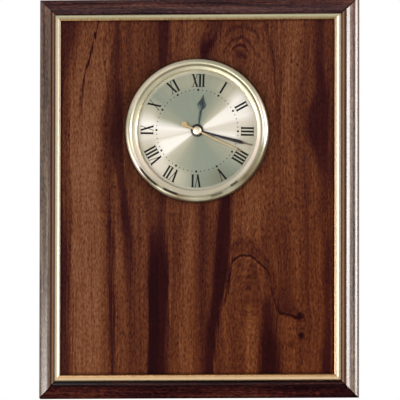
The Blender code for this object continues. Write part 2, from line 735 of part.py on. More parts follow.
def make_insert(centre):
    add_object(
        "bezel", turned_mesh("bezel", bezel_profile(), RIM_FACETS), BRASS, centre
    )
    add_object(
        "crystal", turned_mesh("crystal", crystal_profile(), RIM_FACETS), CLEAR_GLASS, centre
    )
    reflector = [
        (REFLECTOR_DIAL_RADIUS, REFLECTOR_BACK),
        (REFLECTOR_GLASS_RADIUS, REFLECTOR_FRONT),
        (SEAT_RADIUS, REFLECTOR_FRONT),
        (SEAT_RADIUS, REFLECTOR_BACK),
    ]
    add_object(
        "reflector_ring", turned_mesh("reflector_ring", reflector, RIM_FACETS), BRASS, centre
    )
    dial = ring_profile(HOUR_PIPE + GAP, SEAT_RADIUS, DIAL_FRONT, DIAL_BACK)
    add_object("dial", turned_mesh("dial", dial, RIM_FACETS), PALE_GOLD, centre)
    cup = add_object(
        "insert_cup", turned_mesh("insert_cup", cup_profile(), CUP_FACETS), BLACK_PLASTIC, centre
    )
    add_object(
        "retaining_band", turned_mesh("retaining_band", band_profile(), CUP_FACETS), RUBBER, centre
    )
    return cup


# Hands


def clock_direction(turn):
    """The angle from +X of a hand that has turned this far clockwise from twelve."""
    return pi / 2 - turn - INSERT_TURN


def blade(stations):
    """A pointer outline along +X from (distance, half width) stations."""
    return list(stations) + [(distance, -half) for distance, half in reversed(stations)]


def hour_stations():
    half = HOUR_SHAFT_WIDTH / 2
    start = HOUR_BULB_AT - HOUR_BULB_LENGTH / 2
    stations = [(HOUR_HUB_RADIUS - HUB_OVERLAP, half), (start, half)]
    for step in range(1, CURVE_STEPS):
        angle = pi * step / CURVE_STEPS
        distance = HOUR_BULB_AT - HOUR_BULB_LENGTH / 2 * cos(angle)
        stations.append((distance, half + (HOUR_BULB_WIDTH / 2 - half) * sin(angle)))
    return stations + [(start + HOUR_BULB_LENGTH, half), (HOUR_HAND_LENGTH, TIP_WIDTH / 2)]


def minute_stations():
    return [
        (MINUTE_HUB_RADIUS - HUB_OVERLAP, MINUTE_SHAFT_WIDTH / 2),
        (MINUTE_SWELL_FROM, MINUTE_SHAFT_WIDTH / 2),
        (MINUTE_SHOULDER_AT, MINUTE_SHOULDER_WIDTH / 2),
        (MINUTE_WIDEST_AT, MINUTE_WIDEST / 2),
        (MINUTE_NECK_AT, MINUTE_NECK_WIDTH / 2),
        (MINUTE_HAND_LENGTH, TIP_WIDTH / 2),
    ]


def turned_outline(outline, angle):
    return [
        (x * cos(angle) - z * sin(angle), x * sin(angle) + z * cos(angle))
        for x, z in outline
    ]


def make_hand(name, centre, hub, stations, rear, direction, finish):
    """A hub ring of (bore, radius) with its blade fused on."""
    front = rear - HAND_SHEET
    ring = turned_mesh(name, ring_profile(hub[0], hub[1], front, rear), BUSH_FACETS)
    hand = add_object(name, ring, finish, centre)
    outline = turned_outline(blade(stations), direction)
    fuse(hand, name + "_blade", prism_mesh(name + "_blade", outline, front, rear), centre)
    return hand


def make_hands(centre):
    minutes = REST_MINUTE + REST_SECOND / 60
    hour_direction = clock_direction(2 * pi * (REST_HOUR + minutes / 60) / 12)
    minute_direction = clock_direction(2 * pi * minutes / 60)
    second_direction = clock_direction(2 * pi * REST_SECOND / 60)
    make_hand(
        "hour_hand", centre, (HOUR_PIPE + PRESS, HOUR_HUB_RADIUS), hour_stations(),
        HOUR_HAND_BACK, hour_direction, BLACK_PAINT,
    )
    make_hand(
        "minute_hand", centre, (MINUTE_PIPE + PRESS, MINUTE_HUB_RADIUS), minute_stations(),
        MINUTE_HAND_BACK, minute_direction, BLACK_PAINT,
    )

    front = SECOND_HAND_BACK - HAND_SHEET
    cap_front = front - SECOND_CAP_HEIGHT
    cap = [
        (0.0, cap_front),
        (SECOND_CAP_FLAT, cap_front),
        (SECOND_CAP_RADIUS, front),
        (SECOND_CAP_RADIUS, SECOND_HAND_BACK),
        (SECOND_ARBOR + PRESS, SECOND_HAND_BACK),
        (SECOND_ARBOR + PRESS, front),
        (0.0, front),
    ]
    hand = add_object(
        "second_hand", turned_mesh("second_hand", cap, BUSH_FACETS), BRASS, centre
    )
    half = SECOND_HAND_WIDTH / 2
    near = SECOND_CAP_RADIUS - HUB_OVERLAP
    pointer = blade([(near, half), (SECOND_HAND_LENGTH, TIP_WIDTH / 2)])
    tail = rectangle(-SECOND_TAIL_AT, -near, -half, half)
    weight = arc((-SECOND_TAIL_AT, 0.0), (SECOND_TAIL_RADIUS,) * 2, 0.0, 2 * pi, SMALL_FACETS)
    shapes = {"pointer": pointer, "tail": tail, "weight": weight[:-1]}
    for part, outline in shapes.items():
        name = "second_hand_" + part
        outline = turned_outline(outline, second_direction)
        fuse(hand, name, prism_mesh(name, outline, front, SECOND_HAND_BACK), centre)


# Gear train


def gear_outline(teeth, pitch_radius, phase):
    """A spur gear with straight-sided teeth, slim enough to run free of its mate."""
    module = 2 * pitch_radius / teeth
    root = pitch_radius - TOOTH_BELOW * module
    tip = pitch_radius + TOOTH_ABOVE * module
    pitch = 2 * pi / teeth
    flank = [(TOOTH_TIP_SHARE, tip), (TOOTH_ROOT_SHARE, root)]
    profile = [(-share, radius) for share, radius in reversed(flank)] + flank
    outline = []
    for tooth in range(teeth):
        middle = phase + tooth * pitch
        outline += [polar(radius, middle + share * pitch) for share, radius in profile]
    return outline


def meshed_phase(teeth, phase, direction, mate_teeth):
    """Where the mate has a tooth centre, so that its gap meets a tooth on the line of centres."""
    past = ((direction - phase) * teeth / (2 * pi)) % 1.0
    return direction + pi - (0.5 - past) * 2 * pi / mate_teeth


def gear_pair(distance, teeth, mate_teeth):
    """Pitch radii of two gears that mesh at this distance."""
    return distance * teeth / (teeth + mate_teeth), distance * mate_teeth / (teeth + mate_teeth)


def gear_mesh(name, teeth, pitch_radius, phase, front):
    outline = gear_outline(teeth, pitch_radius, phase)
    return prism_mesh(name, outline, front, front + WHEEL_THICKNESS)


def add_gear(name, shape, front, finish, centre, at=(0.0, 0.0)):
    teeth, radius, phase = shape
    return add_object(name, gear_mesh(name, teeth, radius, phase, front), finish, centre, at)


def fuse_gear(obj, name, shape, front, centre, at=(0.0, 0.0)):
    teeth, radius, phase = shape
    fuse(obj, name, gear_mesh(name, teeth, radius, phase, front), centre, at)


def fuse_arbor(obj, name, front, rear, centre, at=(0.0, 0.0), radius=ARBOR_RADIUS):
    fuse(obj, name, turned_mesh(name, disc_profile(radius, front, rear)), centre, at)


def core_radius(teeth, pitch_radius):
    """A sleeve that fills a pinion to just inside its roots."""
    return pitch_radius - TOOTH_BELOW * 2 * pitch_radius / teeth - SLEEVE_INSET


THIRD_AT = polar(THIRD_DISTANCE, THIRD_DIRECTION)
MOTION_AT = polar(MOTION_DISTANCE, MOTION_DIRECTION)
STEP_AT = polar(STEP_DISTANCE, STEP_DIRECTION)
ROTOR_AT = polar(ROTOR_DISTANCE, ROTOR_DIRECTION, STEP_AT)


def make_running_train(centre):
    second_pinion, third_wheel = gear_pair(THIRD_DISTANCE, SECOND_PINION_TEETH, THIRD_WHEEL_TEETH)
    third_pinion, minute_wheel = gear_pair(THIRD_DISTANCE, THIRD_PINION_TEETH, MINUTE_WHEEL_TEETH)
    step_pinion, second_wheel = gear_pair(STEP_DISTANCE, STEP_PINION_TEETH, SECOND_WHEEL_TEETH)
    rotor_pinion, step_wheel = gear_pair(ROTOR_DISTANCE, ROTOR_PINION_TEETH, STEP_WHEEL_TEETH)

    wheel = add_gear(
        "second_wheel", (SECOND_WHEEL_TEETH, second_wheel, 0.0), SECOND_LAYER, BRASS, centre
    )
    fuse_gear(
        wheel, "second_pinion", (SECOND_PINION_TEETH, second_pinion, 0.0), THIRD_LAYER, centre
    )
    arbor_front = SECOND_HAND_BACK - HAND_SHEET + PRESS
    fuse_arbor(wheel, "second_arbor", arbor_front, PIVOT_BACK, centre)

    phase = meshed_phase(SECOND_PINION_TEETH, 0.0, THIRD_DIRECTION, THIRD_WHEEL_TEETH)
    third = add_gear(
        "third_wheel", (THIRD_WHEEL_TEETH, third_wheel, phase),
        THIRD_LAYER, BRASS, centre, THIRD_AT,
    )
    fuse_gear(
        third, "third_pinion", (THIRD_PINION_TEETH, third_pinion, 0.0),
        MINUTE_LAYER, centre, THIRD_AT,
    )
    fuse_arbor(third, "third_arbor", CANNON_LAYER, PIVOT_BACK, centre, THIRD_AT)

    back_to_centre = THIRD_DIRECTION + pi
    phase = meshed_phase(THIRD_PINION_TEETH, 0.0, back_to_centre, MINUTE_WHEEL_TEETH)
    minute = add_gear(
        "minute_wheel", (MINUTE_WHEEL_TEETH, minute_wheel, phase), MINUTE_LAYER, BRASS, centre
    )
    drill(
        minute, "minute_wheel_bore", MINUTE_PIPE + PRESS,
        MINUTE_LAYER - GAP, BRIDGE_FRONT, centre,
    )

    phase = meshed_phase(SECOND_WHEEL_TEETH, 0.0, STEP_DIRECTION, STEP_PINION_TEETH)
    step = add_gear(
        "step_wheel", (STEP_WHEEL_TEETH, step_wheel, 0.0),
        STEP_LAYER, WHITE_PLASTIC, centre, STEP_AT,
    )
    fuse_gear(
        step, "step_pinion", (STEP_PINION_TEETH, step_pinion, phase),
        SECOND_LAYER, centre, STEP_AT,
    )
    sleeve = core_radius(STEP_PINION_TEETH, step_pinion)
    fuse_arbor(
        step, "step_sleeve", THIRD_LAYER + LAYER_GAP, STEP_LAYER + LAYER_GAP,
        centre, STEP_AT, sleeve,
    )
    pivot_front = BRIDGE_BACK - PIVOT_DEPTH
    fuse_arbor(step, "step_arbor", pivot_front, PIVOT_BACK, centre, STEP_AT)

    phase = meshed_phase(STEP_WHEEL_TEETH, 0.0, ROTOR_DIRECTION, ROTOR_PINION_TEETH)
    rotor = add_gear(
        "rotor_pinion", (ROTOR_PINION_TEETH, rotor_pinion, phase),
        STEP_LAYER, WHITE_PLASTIC, centre, ROTOR_AT,
    )
    fuse_arbor(rotor, "rotor_arbor", pivot_front, PIVOT_BACK, centre, ROTOR_AT)
    magnet = ring_profile(ARBOR_RADIUS + PRESS, MAGNET_RADIUS, MAGNET_FRONT, MAGNET_BACK)
    add_object(
        "rotor_magnet", turned_mesh("rotor_magnet", magnet, BUSH_FACETS),
        IRON, centre, ROTOR_AT,
    )


def make_motion_work(centre):
    cannon_radius, motion_wheel = gear_pair(MOTION_DISTANCE, CANNON_TEETH, MOTION_WHEEL_TEETH)
    motion_pinion, hour_wheel = gear_pair(MOTION_DISTANCE, MOTION_PINION_TEETH, HOUR_WHEEL_TEETH)
    pipe_end = MINUTE_LAYER + WHEEL_THICKNESS

    cannon = add_gear(
        "cannon_pinion", (CANNON_TEETH, cannon_radius, 0.0), CANNON_LAYER, STEEL, centre
    )
    pipe_front = MINUTE_HAND_BACK - HAND_SHEET
    fuse_arbor(cannon, "minute_pipe", pipe_front, pipe_end, centre, radius=MINUTE_PIPE)
    drill(
        cannon, "minute_pipe_bore", MINUTE_PIPE_BORE, pipe_front - GAP, pipe_end + GAP, centre
    )

    phase = meshed_phase(CANNON_TEETH, 0.0, MOTION_DIRECTION, MOTION_WHEEL_TEETH)
    motion = add_gear(
        "motion_wheel", (MOTION_WHEEL_TEETH, motion_wheel, phase),
        CANNON_LAYER, WHITE_PLASTIC, centre, MOTION_AT,
    )
    fuse_gear(
        motion, "motion_pinion", (MOTION_PINION_TEETH, motion_pinion, 0.0),
        HOUR_LAYER, centre, MOTION_AT,
    )
    sleeve = core_radius(MOTION_PINION_TEETH, motion_pinion)
    fuse_arbor(
        motion, "motion_sleeve", HOUR_LAYER + LAYER_GAP, CANNON_LAYER + LAYER_GAP,
        centre, MOTION_AT, sleeve,
    )
    arbor_front = PLATE_BACK - PIVOT_DEPTH
    arbor_back = CUP_OUTSIDE + GAP + KNOB_SOCKET
    fuse_arbor(motion, "motion_arbor", arbor_front, arbor_back, centre, MOTION_AT)

    back_to_centre = MOTION_DIRECTION + pi
    phase = meshed_phase(MOTION_PINION_TEETH, 0.0, back_to_centre, HOUR_WHEEL_TEETH)
    hour = add_gear(
        "hour_wheel", (HOUR_WHEEL_TEETH, hour_wheel, phase), HOUR_LAYER, WHITE_PLASTIC, centre
    )
    pipe_front = HOUR_HAND_BACK - HAND_SHEET
    fuse_arbor(
        hour, "hour_pipe", pipe_front, HOUR_LAYER + WHEEL_THICKNESS, centre, radius=HOUR_PIPE
    )
    drill(
        hour, "hour_pipe_bore", HOUR_PIPE_BORE, pipe_front - GAP, CANNON_LAYER, centre
    )


def make_knob(centre):
    front = CUP_OUTSIDE + GAP
    rear = front + KNOB_HEIGHT
    outline = []
    for point in range(2 * KNOB_FLUTES):
        radius = KNOB_RADIUS - KNOB_FLUTE_DEPTH * (point % 2)
        outline.append(polar(radius, pi * point / KNOB_FLUTES))
    knob = add_object(
        "setting_knob", prism_mesh("setting_knob", outline, front, rear),
        BLACK_PLASTIC, centre, MOTION_AT,
    )
    stem_front = CUP_INSIDE + CUP_BACK / 2
    fuse_arbor(
        knob, "knob_stem", stem_front, front + KNOB_SOCKET / 2, centre, MOTION_AT, STEM_RADIUS
    )
    drill(
        knob, "knob_bore", ARBOR_RADIUS + PRESS, stem_front - GAP,
        front + KNOB_SOCKET + PRESS, centre, MOTION_AT,
    )


# Movement case and step motor


def bridge_outline():
    """A plate that covers the arbors with a margin and stays clear of the coil and the cell."""
    left = ROTOR_AT[0] - BRIDGE_MARGIN
    right = THIRD_AT[0] + BRIDGE_MARGIN
    bottom = MOTION_AT[1] - BRIDGE_MARGIN
    minute_wheel = gear_pair(THIRD_DISTANCE, THIRD_PINION_TEETH, MINUTE_WHEEL_TEETH)[1]
    top = max(THIRD_AT[1], ROTOR_AT[1]) + minute_wheel
    return rectangle(left, right, bottom, top)


def pillar_places():
    """Three places at the edge of the bridge, outside the sweep of the wheels."""
    left, bottom = bridge_outline()[0]
    right, top = bridge_outline()[2]
    inset = PILLAR_RADIUS + GAP
    return [
        (left + inset, top - inset),
        (right - inset, top - inset),
        (left + inset, bottom + inset),
    ]


def screw_places():
    x = CASE_WIDTH / 2 - SCREW_INSET
    z = CASE_HEIGHT / 2 - SCREW_INSET
    return {"left": (-x, -z), "right": (x, z)}


def make_case(centre, cup):
    outside = rounded_rectangle(CASE_WIDTH, CASE_HEIGHT, CASE_CORNER)
    plate = add_object(
        "movement_plate", prism_mesh("movement_plate", outside, PLATE_FRONT, PLATE_BACK),
        GREY_PLASTIC, centre,
    )
    drill(
        plate, "plate_centre_hole", HOUR_PIPE + RUNNING,
        PLATE_FRONT - GAP, PLATE_BACK + GAP, centre,
    )
    drill(
        plate, "plate_motion_hole", ARBOR_RADIUS + RUNNING,
        PLATE_FRONT - GAP, PLATE_BACK + GAP, centre, MOTION_AT,
    )
    bridge = add_object(
        "train_bridge", prism_mesh("train_bridge", bridge_outline(), BRIDGE_FRONT, BRIDGE_BACK),
        BRASS, centre,
    )
    arbors = {"centre": (0.0, 0.0), "third": THIRD_AT, "step": STEP_AT, "rotor": ROTOR_AT}
    for name, place in {**arbors, "motion": MOTION_AT}.items():
        drill(
            bridge, "bridge_" + name + "_hole", ARBOR_RADIUS + RUNNING,
            BRIDGE_FRONT - GAP, BRIDGE_BACK + GAP, centre, place,
        )
    for number, place in enumerate(pillar_places()):
        name = "plate_pillar_" + str(number)
        pillar_back = BRIDGE_FRONT - GAP / 2
        fuse_arbor(plate, name, PLATE_FRONT + GAP, pillar_back, centre, place, PILLAR_RADIUS)

    shell_front = PLATE_BACK + GAP
    shell = add_object(
        "movement_shell", prism_mesh("movement_shell", outside, shell_front, SHELL_BACK),
        GREY_PLASTIC, centre,
    )
    inside = rounded_rectangle(
        CASE_WIDTH - 2 * CASE_WALL, CASE_HEIGHT - 2 * CASE_WALL, CASE_CORNER - CASE_WALL
    )
    cut(
        shell, "shell_cavity",
        prism_mesh("shell_cavity", inside, shell_front - GAP, SHELL_INSIDE), centre,
    )
    stator_posts = [
        (ROTOR_AT[0], ROTOR_AT[1] + STATOR_ABOVE - STATOR_ARM / 2),
        (ROTOR_AT[0], ROTOR_AT[1] - STATOR_BELOW + STATOR_ARM / 2),
    ]
    board_posts = [
        (BOARD_LEFT + POST_INSET, BOARD_BOTTOM + BOARD_HEIGHT - POST_INSET),
        (BOARD_RIGHT - POST_INSET, BOARD_BOTTOM + POST_INSET),
    ]
    posts = [(STATOR_FRONT + STATOR_THICKNESS, place) for place in stator_posts]
    posts += [(BOARD_BACK, place) for place in board_posts]
    for number, (carried, place) in enumerate(posts):
        fuse_arbor(
            shell, "shell_post_" + str(number), carried + GAP,
            PIVOT_BACK, centre, place, POST_RADIUS,
        )
    for name, place in arbors.items():
        drill(
            shell, "shell_" + name + "_hole", ARBOR_RADIUS + RUNNING,
            SHELL_INSIDE - GAP, PIVOT_BACK + GAP, centre, place,
        )
    drill(
        shell, "shell_motion_hole", ARBOR_RADIUS + RUNNING,
        SHELL_INSIDE - GAP, SHELL_BACK + GAP, centre, MOTION_AT,
    )
    drill(
        shell, "shell_cell_hole", CELL_RADIUS + GAP, SHELL_INSIDE - GAP, SHELL_BACK + GAP,
        centre, CELL_AT, BUSH_FACETS,
    )
    drill(
        cup, "cup_stem_hole", STEM_RADIUS + RUNNING, CUP_INSIDE - GAP, CUP_OUTSIDE + GAP,
        centre, MOTION_AT,
    )
    for side, place in screw_places().items():
        tip = SHELL_BACK - SCREW_LENGTH + CUP_BACK
        fuse_arbor(
            shell, "shell_boss_" + side, tip - 2 * GAP, PIVOT_BACK,
            centre, place, BOSS_RADIUS,
        )
        drill(
            shell, "shell_screw_hole_" + side, SCREW_SHANK_RADIUS + PRESS,
            tip - GAP, SHELL_BACK + GAP, centre, place,
        )
        drill(
            cup, "cup_screw_hole_" + side, SCREW_SHANK_RADIUS + GAP,
            CUP_INSIDE - GAP, CUP_OUTSIDE + GAP, centre, place,
        )
        make_screw(centre, side, place, tip)


def make_screw(centre, side, place, tip):
    name = "case_screw_" + side
    head = CUP_OUTSIDE + GAP
    profile = [
        (0.0, tip),
        (SCREW_SHANK_RADIUS, tip + SCREW_SHANK_RADIUS),
        (SCREW_SHANK_RADIUS, head),
        (SCREW_HEAD_RADIUS, head),
        (SCREW_HEAD_RADIUS, head + SCREW_HEAD_HEIGHT - SCREW_CHAMFER),
        (SCREW_HEAD_RADIUS - SCREW_CHAMFER, head + SCREW_HEAD_HEIGHT),
        (0.0, head + SCREW_HEAD_HEIGHT),
    ]
    screw = add_object(name, turned_mesh(name, profile), STEEL, centre, place)
    half = SCREW_SLOT_WIDTH / 2
    slot = rectangle(-SCREW_HEAD_RADIUS - GAP, SCREW_HEAD_RADIUS + GAP, -half, half)
    floor = head + SCREW_HEAD_HEIGHT - SCREW_SLOT_DEPTH
    cut(
        screw, name + "_slot",
        prism_mesh(name + "_slot", slot, floor, floor + SCREW_HEAD_HEIGHT), centre, place,
    )


def make_motor(centre):
    rotor_x, rotor_z = ROTOR_AT
    coil_x = rotor_x - COIL_FROM_ROTOR
    top = rotor_z + STATOR_ABOVE
    bottom = rotor_z - STATOR_BELOW
    left = coil_x - CORE_WIDTH
    inner = rotor_x - STATOR_HALF_WIDTH
    right = rotor_x + STATOR_HALF_WIDTH
    outline = [
        (left, bottom), (right, bottom), (right, top), (left, top),
        (left, top - STATOR_ARM), (inner, top - STATOR_ARM),
        (inner, bottom + STATOR_ARM), (left, bottom + STATOR_ARM),
    ]
    stator_back = STATOR_FRONT + STATOR_THICKNESS
    stator = add_object(
        "stator", prism_mesh("stator", outline, STATOR_FRONT, stator_back), IRON, centre
    )
    drill(
        stator, "stator_bore", MAGNET_RADIUS + STATOR_AIR_GAP,
        STATOR_FRONT - GAP, stator_back + GAP, centre, ROTOR_AT, BUSH_FACETS,
    )
    half = CORE_WIDTH / 2
    core = rectangle(coil_x - half, coil_x + half, bottom, top)
    add_object(
        "coil_core", prism_mesh("coil_core", core, CORE_BACK - CORE_THICKNESS, CORE_BACK),
        IRON, centre,
    )
    spool_bottom = bottom + STATOR_ARM + GAP
    spool_top = top - STATOR_ARM - GAP
    depth = CORE_BACK - CORE_THICKNESS / 2
    flange = SPOOL_FLANGE_THICKNESS
    spool = [
        (SPOOL_BORE, spool_bottom), (SPOOL_FLANGE, spool_bottom),
        (SPOOL_FLANGE, spool_bottom + flange), (SPOOL_TUBE, spool_bottom + flange),
        (SPOOL_TUBE, spool_top - flange), (SPOOL_FLANGE, spool_top - flange),
        (SPOOL_FLANGE, spool_top), (SPOOL_BORE, spool_top),
    ]
    winding_bottom = spool_bottom + flange + PRESS
    winding_top = spool_top - flange - PRESS
    winding = ring_profile(SPOOL_TUBE + PRESS, WINDING_RADIUS, winding_bottom, winding_top)
    for name, profile, finish in (
        ("coil_spool", spool, WHITE_PLASTIC), ("coil_winding", winding, COPPER)
    ):
        add_object(name, upright_mesh(name, profile, coil_x, depth), finish, centre)


def upright_mesh(name, profile, x, depth):
    """A (radius, z) profile turned about a vertical line at this x and depth."""
    shape = bmesh.new()
    points = [shape.verts.new((x + radius, back(depth), z)) for radius, z in profile]
    edges = [shape.edges.new(pair) for pair in zip(points, points[1:] + points[:1])]
    bmesh.ops.spin(
        shape, geom=points + edges, cent=(x, back(depth), 0.0), axis=(0.0, 0.0, 1.0),
        angle=2 * pi, steps=SMALL_FACETS, use_merge=True,
    )
    bmesh.ops.remove_doubles(shape, verts=shape.verts, dist=MERGE_DISTANCE)
    return finish_mesh(shape, name)


def make_circuit(centre):
    top = BOARD_BOTTOM + BOARD_HEIGHT
    outline = rectangle(BOARD_LEFT, BOARD_RIGHT, BOARD_BOTTOM, top)
    add_object(
        "circuit_board", prism_mesh("circuit_board", outline, BOARD_FRONT, BOARD_BACK),
        GREEN_BOARD, centre,
    )
    chip_at = ((BOARD_LEFT + BOARD_RIGHT) / 2, BOARD_BOTTOM + BOARD_HEIGHT / 2)
    chip_front = BOARD_BACK + GAP
    chip = [
        (0.0, chip_front),
        (CHIP_RADIUS, chip_front),
        (CHIP_TOP_RADIUS, chip_front + CHIP_HEIGHT),
        (0.0, chip_front + CHIP_HEIGHT),
    ]
    add_object("control_chip", turned_mesh("control_chip", chip), BLACK_PLASTIC, centre, chip_at)
    depth = BOARD_FRONT - GAP - QUARTZ_RADIUS
    can = disc_profile(QUARTZ_RADIUS, top - QUARTZ_LENGTH, top)
    can_x = BOARD_RIGHT - QUARTZ_INSET
    add_object("quartz_can", upright_mesh("quartz_can", can, can_x, depth), STEEL, centre)


def lug_outline(grow):
    """Both lugs of the battery door as one bar across its boss, grown by a clearance."""
    reach = DOOR_BOSS_RADIUS + LUG_REACH + grow
    half = LUG_WIDTH / 2 + grow
    return rectangle(-reach, reach, -half, half)


def make_cell(centre, cup):
    place = CELL_AT
    shoulder = CELL_FRONT + CELL_CAP_HEIGHT
    cell = [
        (0.0, CELL_FRONT),
        (CELL_CAP_RADIUS, CELL_FRONT),
        (CELL_RADIUS, shoulder),
        (CELL_RADIUS, CELL_BACK),
        (0.0, CELL_BACK),
    ]
    add_object(
        "button_cell", turned_mesh("button_cell", cell, BUSH_FACETS), STEEL, centre, place
    )
    half = CONTACT_WIDTH / 2
    reach = BOARD_BOTTOM - CELL_AT[1] + half
    strip = rectangle(-half, half, -half, reach)
    contact_back = CELL_FRONT - GAP
    add_object(
        "negative_contact",
        prism_mesh("negative_contact", strip, contact_back - CONTACT_SHEET, contact_back),
        BRASS, centre, place,
    )
    near = CELL_RADIUS + GAP
    first = pi / 2 - CONTACT_SPAN
    last = pi / 2 + CONTACT_SPAN
    outer = arc((0.0, 0.0), (near + CONTACT_SHEET,) * 2, first, last, CURVE_STEPS)
    inner = arc((0.0, 0.0), (near,) * 2, last, first, CURVE_STEPS)
    add_object(
        "positive_contact",
        prism_mesh("positive_contact", outer + inner, shoulder, SHELL_INSIDE - GAP),
        BRASS, centre, place,
    )
    lip_front = CUP_OUTSIDE - DOOR_LIP
    lug_back = CUP_INSIDE + GAP + LUG_THICKNESS
    recess = DOOR_BOSS_RADIUS + LUG_REACH + 2 * GAP
    stepped_bore = [
        (0.0, CUP_INSIDE - GAP),
        (recess, CUP_INSIDE - GAP),
        (recess, lug_back + GAP),
        (DOOR_BOSS_RADIUS + GAP, lug_back + GAP),
        (DOOR_BOSS_RADIUS + GAP, lip_front - GAP),
        (DOOR_RADIUS + GAP, lip_front - GAP),
        (DOOR_RADIUS + GAP, CUP_OUTSIDE + GAP),
        (0.0, CUP_OUTSIDE + GAP),
    ]
    bore = turned_mesh("cup_door_bore", stepped_bore, BUSH_FACETS)
    cut(cup, "cup_door_bore", bore, centre, place)
    entry = turned_outline(lug_outline(GAP), -DOOR_TWIST)
    entry_mesh = prism_mesh("cup_lug_entry", entry, lug_back, CUP_OUTSIDE - GAP)
    cut(cup, "cup_lug_entry", entry_mesh, centre, place)
    door = [
        (0.0, CUP_INSIDE + GAP),
        (DOOR_BOSS_RADIUS, CUP_INSIDE + GAP),
        (DOOR_BOSS_RADIUS, lip_front),
        (DOOR_RADIUS, lip_front),
        (DOOR_RADIUS, CUP_OUTSIDE),
        (0.0, CUP_OUTSIDE),
    ]
    lid = add_object(
        "battery_door", turned_mesh("battery_door", door, BUSH_FACETS),
        BLACK_PLASTIC, centre, place,
    )
    fuse(
        lid, "door_lugs",
        prism_mesh("door_lugs", lug_outline(0.0), CUP_INSIDE + GAP, lug_back), centre, place,
    )
    half_length = COIN_SLOT_LENGTH / 2
    half_width = COIN_SLOT_WIDTH / 2
    slot = rectangle(-half_length, half_length, -half_width, half_width)
    cut(
        lid, "coin_slot",
        prism_mesh("coin_slot", slot, CUP_OUTSIDE - COIN_SLOT_DEPTH, CUP_OUTSIDE + GAP),
        centre, place,
    )


def main():
    clear_scene()
    centre = bpy.data.objects.new("clock_centre", None)
    bpy.context.scene.collection.objects.link(centre)
    centre.location = (0.0, 0.0, CLOCK_Z)
    sheets = make_plaque()
    make_hanger(sheets)
    make_bumpers(sheets)
    cup = make_insert(centre)
    make_hands(centre)
    make_case(centre, cup)
    make_running_train(centre)
    make_motion_work(centre)
    make_knob(centre)
    make_motor(centre)
    make_circuit(centre)
    make_cell(centre, cup)
    bpy.context.view_layer.update()


main()
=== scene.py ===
"""Looks of a walnut clock plaque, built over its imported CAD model."""

import json
from math import cos, pi, radians, sin

import bmesh
import bpy
from mathutils import Matrix, Vector


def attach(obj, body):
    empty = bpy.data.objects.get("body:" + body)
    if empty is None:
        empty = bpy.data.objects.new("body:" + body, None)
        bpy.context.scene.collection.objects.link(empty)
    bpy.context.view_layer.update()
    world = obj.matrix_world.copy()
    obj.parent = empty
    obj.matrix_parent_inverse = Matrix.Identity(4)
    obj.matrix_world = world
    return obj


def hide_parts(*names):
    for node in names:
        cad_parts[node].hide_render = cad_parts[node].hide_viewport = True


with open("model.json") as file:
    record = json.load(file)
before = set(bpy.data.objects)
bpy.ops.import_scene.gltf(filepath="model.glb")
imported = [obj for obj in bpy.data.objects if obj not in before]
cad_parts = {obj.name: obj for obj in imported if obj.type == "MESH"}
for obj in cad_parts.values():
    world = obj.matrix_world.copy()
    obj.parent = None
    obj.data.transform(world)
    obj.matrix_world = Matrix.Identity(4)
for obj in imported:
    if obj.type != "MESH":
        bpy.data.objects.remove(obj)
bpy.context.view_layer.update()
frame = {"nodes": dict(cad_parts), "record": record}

# Lengths are in millimetres, and pieces are brought to metres when they are finished
MM = 0.001
MERGE_DISTANCE = 1e-4

# Plaque: depths run back from the panel's front face, and -Y is towards the reader
THICKNESS = 19.05
PANEL_X = 88.1
PANEL_Z = 113.5
MITRE_TRIM = 0.03

# Clock insert
CLOCK_Z = 42.0
INSERT_TURN = radians(1.3)
DIAL_FRONT = -21.05

# Time shown: seventeen minutes and nineteen seconds past twelve
SHOWN_SECOND = 19.0
SHOWN_MINUTE = 17.0 + SHOWN_SECOND / 60.0
SHOWN_HOUR = SHOWN_MINUTE / 60.0

# Every material by its name
FINISHES = {}
WHITE = (1.0, 1.0, 1.0, 1.0)


def srgb(red, green, blue):
    """A screen colour from 0 to 255 as the linear colour that nodes take."""
    linear = []
    for value in (red, green, blue):
        share = value / 255.0
        linear.append(share / 12.92 if share <= 0.04045 else ((share + 0.055) / 1.055) ** 2.4)
    return (*linear, 1.0)


# Node trees


class Output:
    """What one node gives, with the usual signs for arithmetic."""

    def __init__(self, recipe, socket):
        self.recipe = recipe
        self.socket = socket

    def __add__(self, other):
        return self.recipe.math("ADD", self, other)

    def __sub__(self, other):
        return self.recipe.math("SUBTRACT", self, other)

    def __rsub__(self, other):
        return self.recipe.math("SUBTRACT", other, self)

    def __mul__(self, other):
        return self.recipe.math("MULTIPLY", self, other)

    def __truediv__(self, other):
        return self.recipe.math("DIVIDE", self, other)

    def __rtruediv__(self, other):
        return self.recipe.math("DIVIDE", other, self)

    def __abs__(self):
        return self.recipe.math("ABSOLUTE", self)

    def scaled(self, factor, start):
        """This number times a factor, added to a start."""
        return self.recipe.math("MULTIPLY_ADD", self, factor, start)

    def most(self, other):
        """The larger of two numbers."""
        return self.recipe.math("MAXIMUM", self, other)

    def between(self, low, high, start=0.0, end=1.0):
        """This number's place between low and high, eased, as a number from start to end."""
        inputs = {0: self, 1: low, 2: high, 3: start, 4: end}
        return self.recipe.add("MapRange", inputs, interpolation_type="SMOOTHSTEP")

    def toward(self, share, target):
        """This number moved a share of the way to a target."""
        inputs = {0: share, 2: self, 3: target}
        return self.recipe.add("Mix", inputs, data_type="FLOAT")

    def times(self, share, red, green, blue):
        """This colour multiplied by another, as far as the share says."""
        return self.recipe.blend(share, self, (red, green, blue, 1.0), "MULTIPLY")


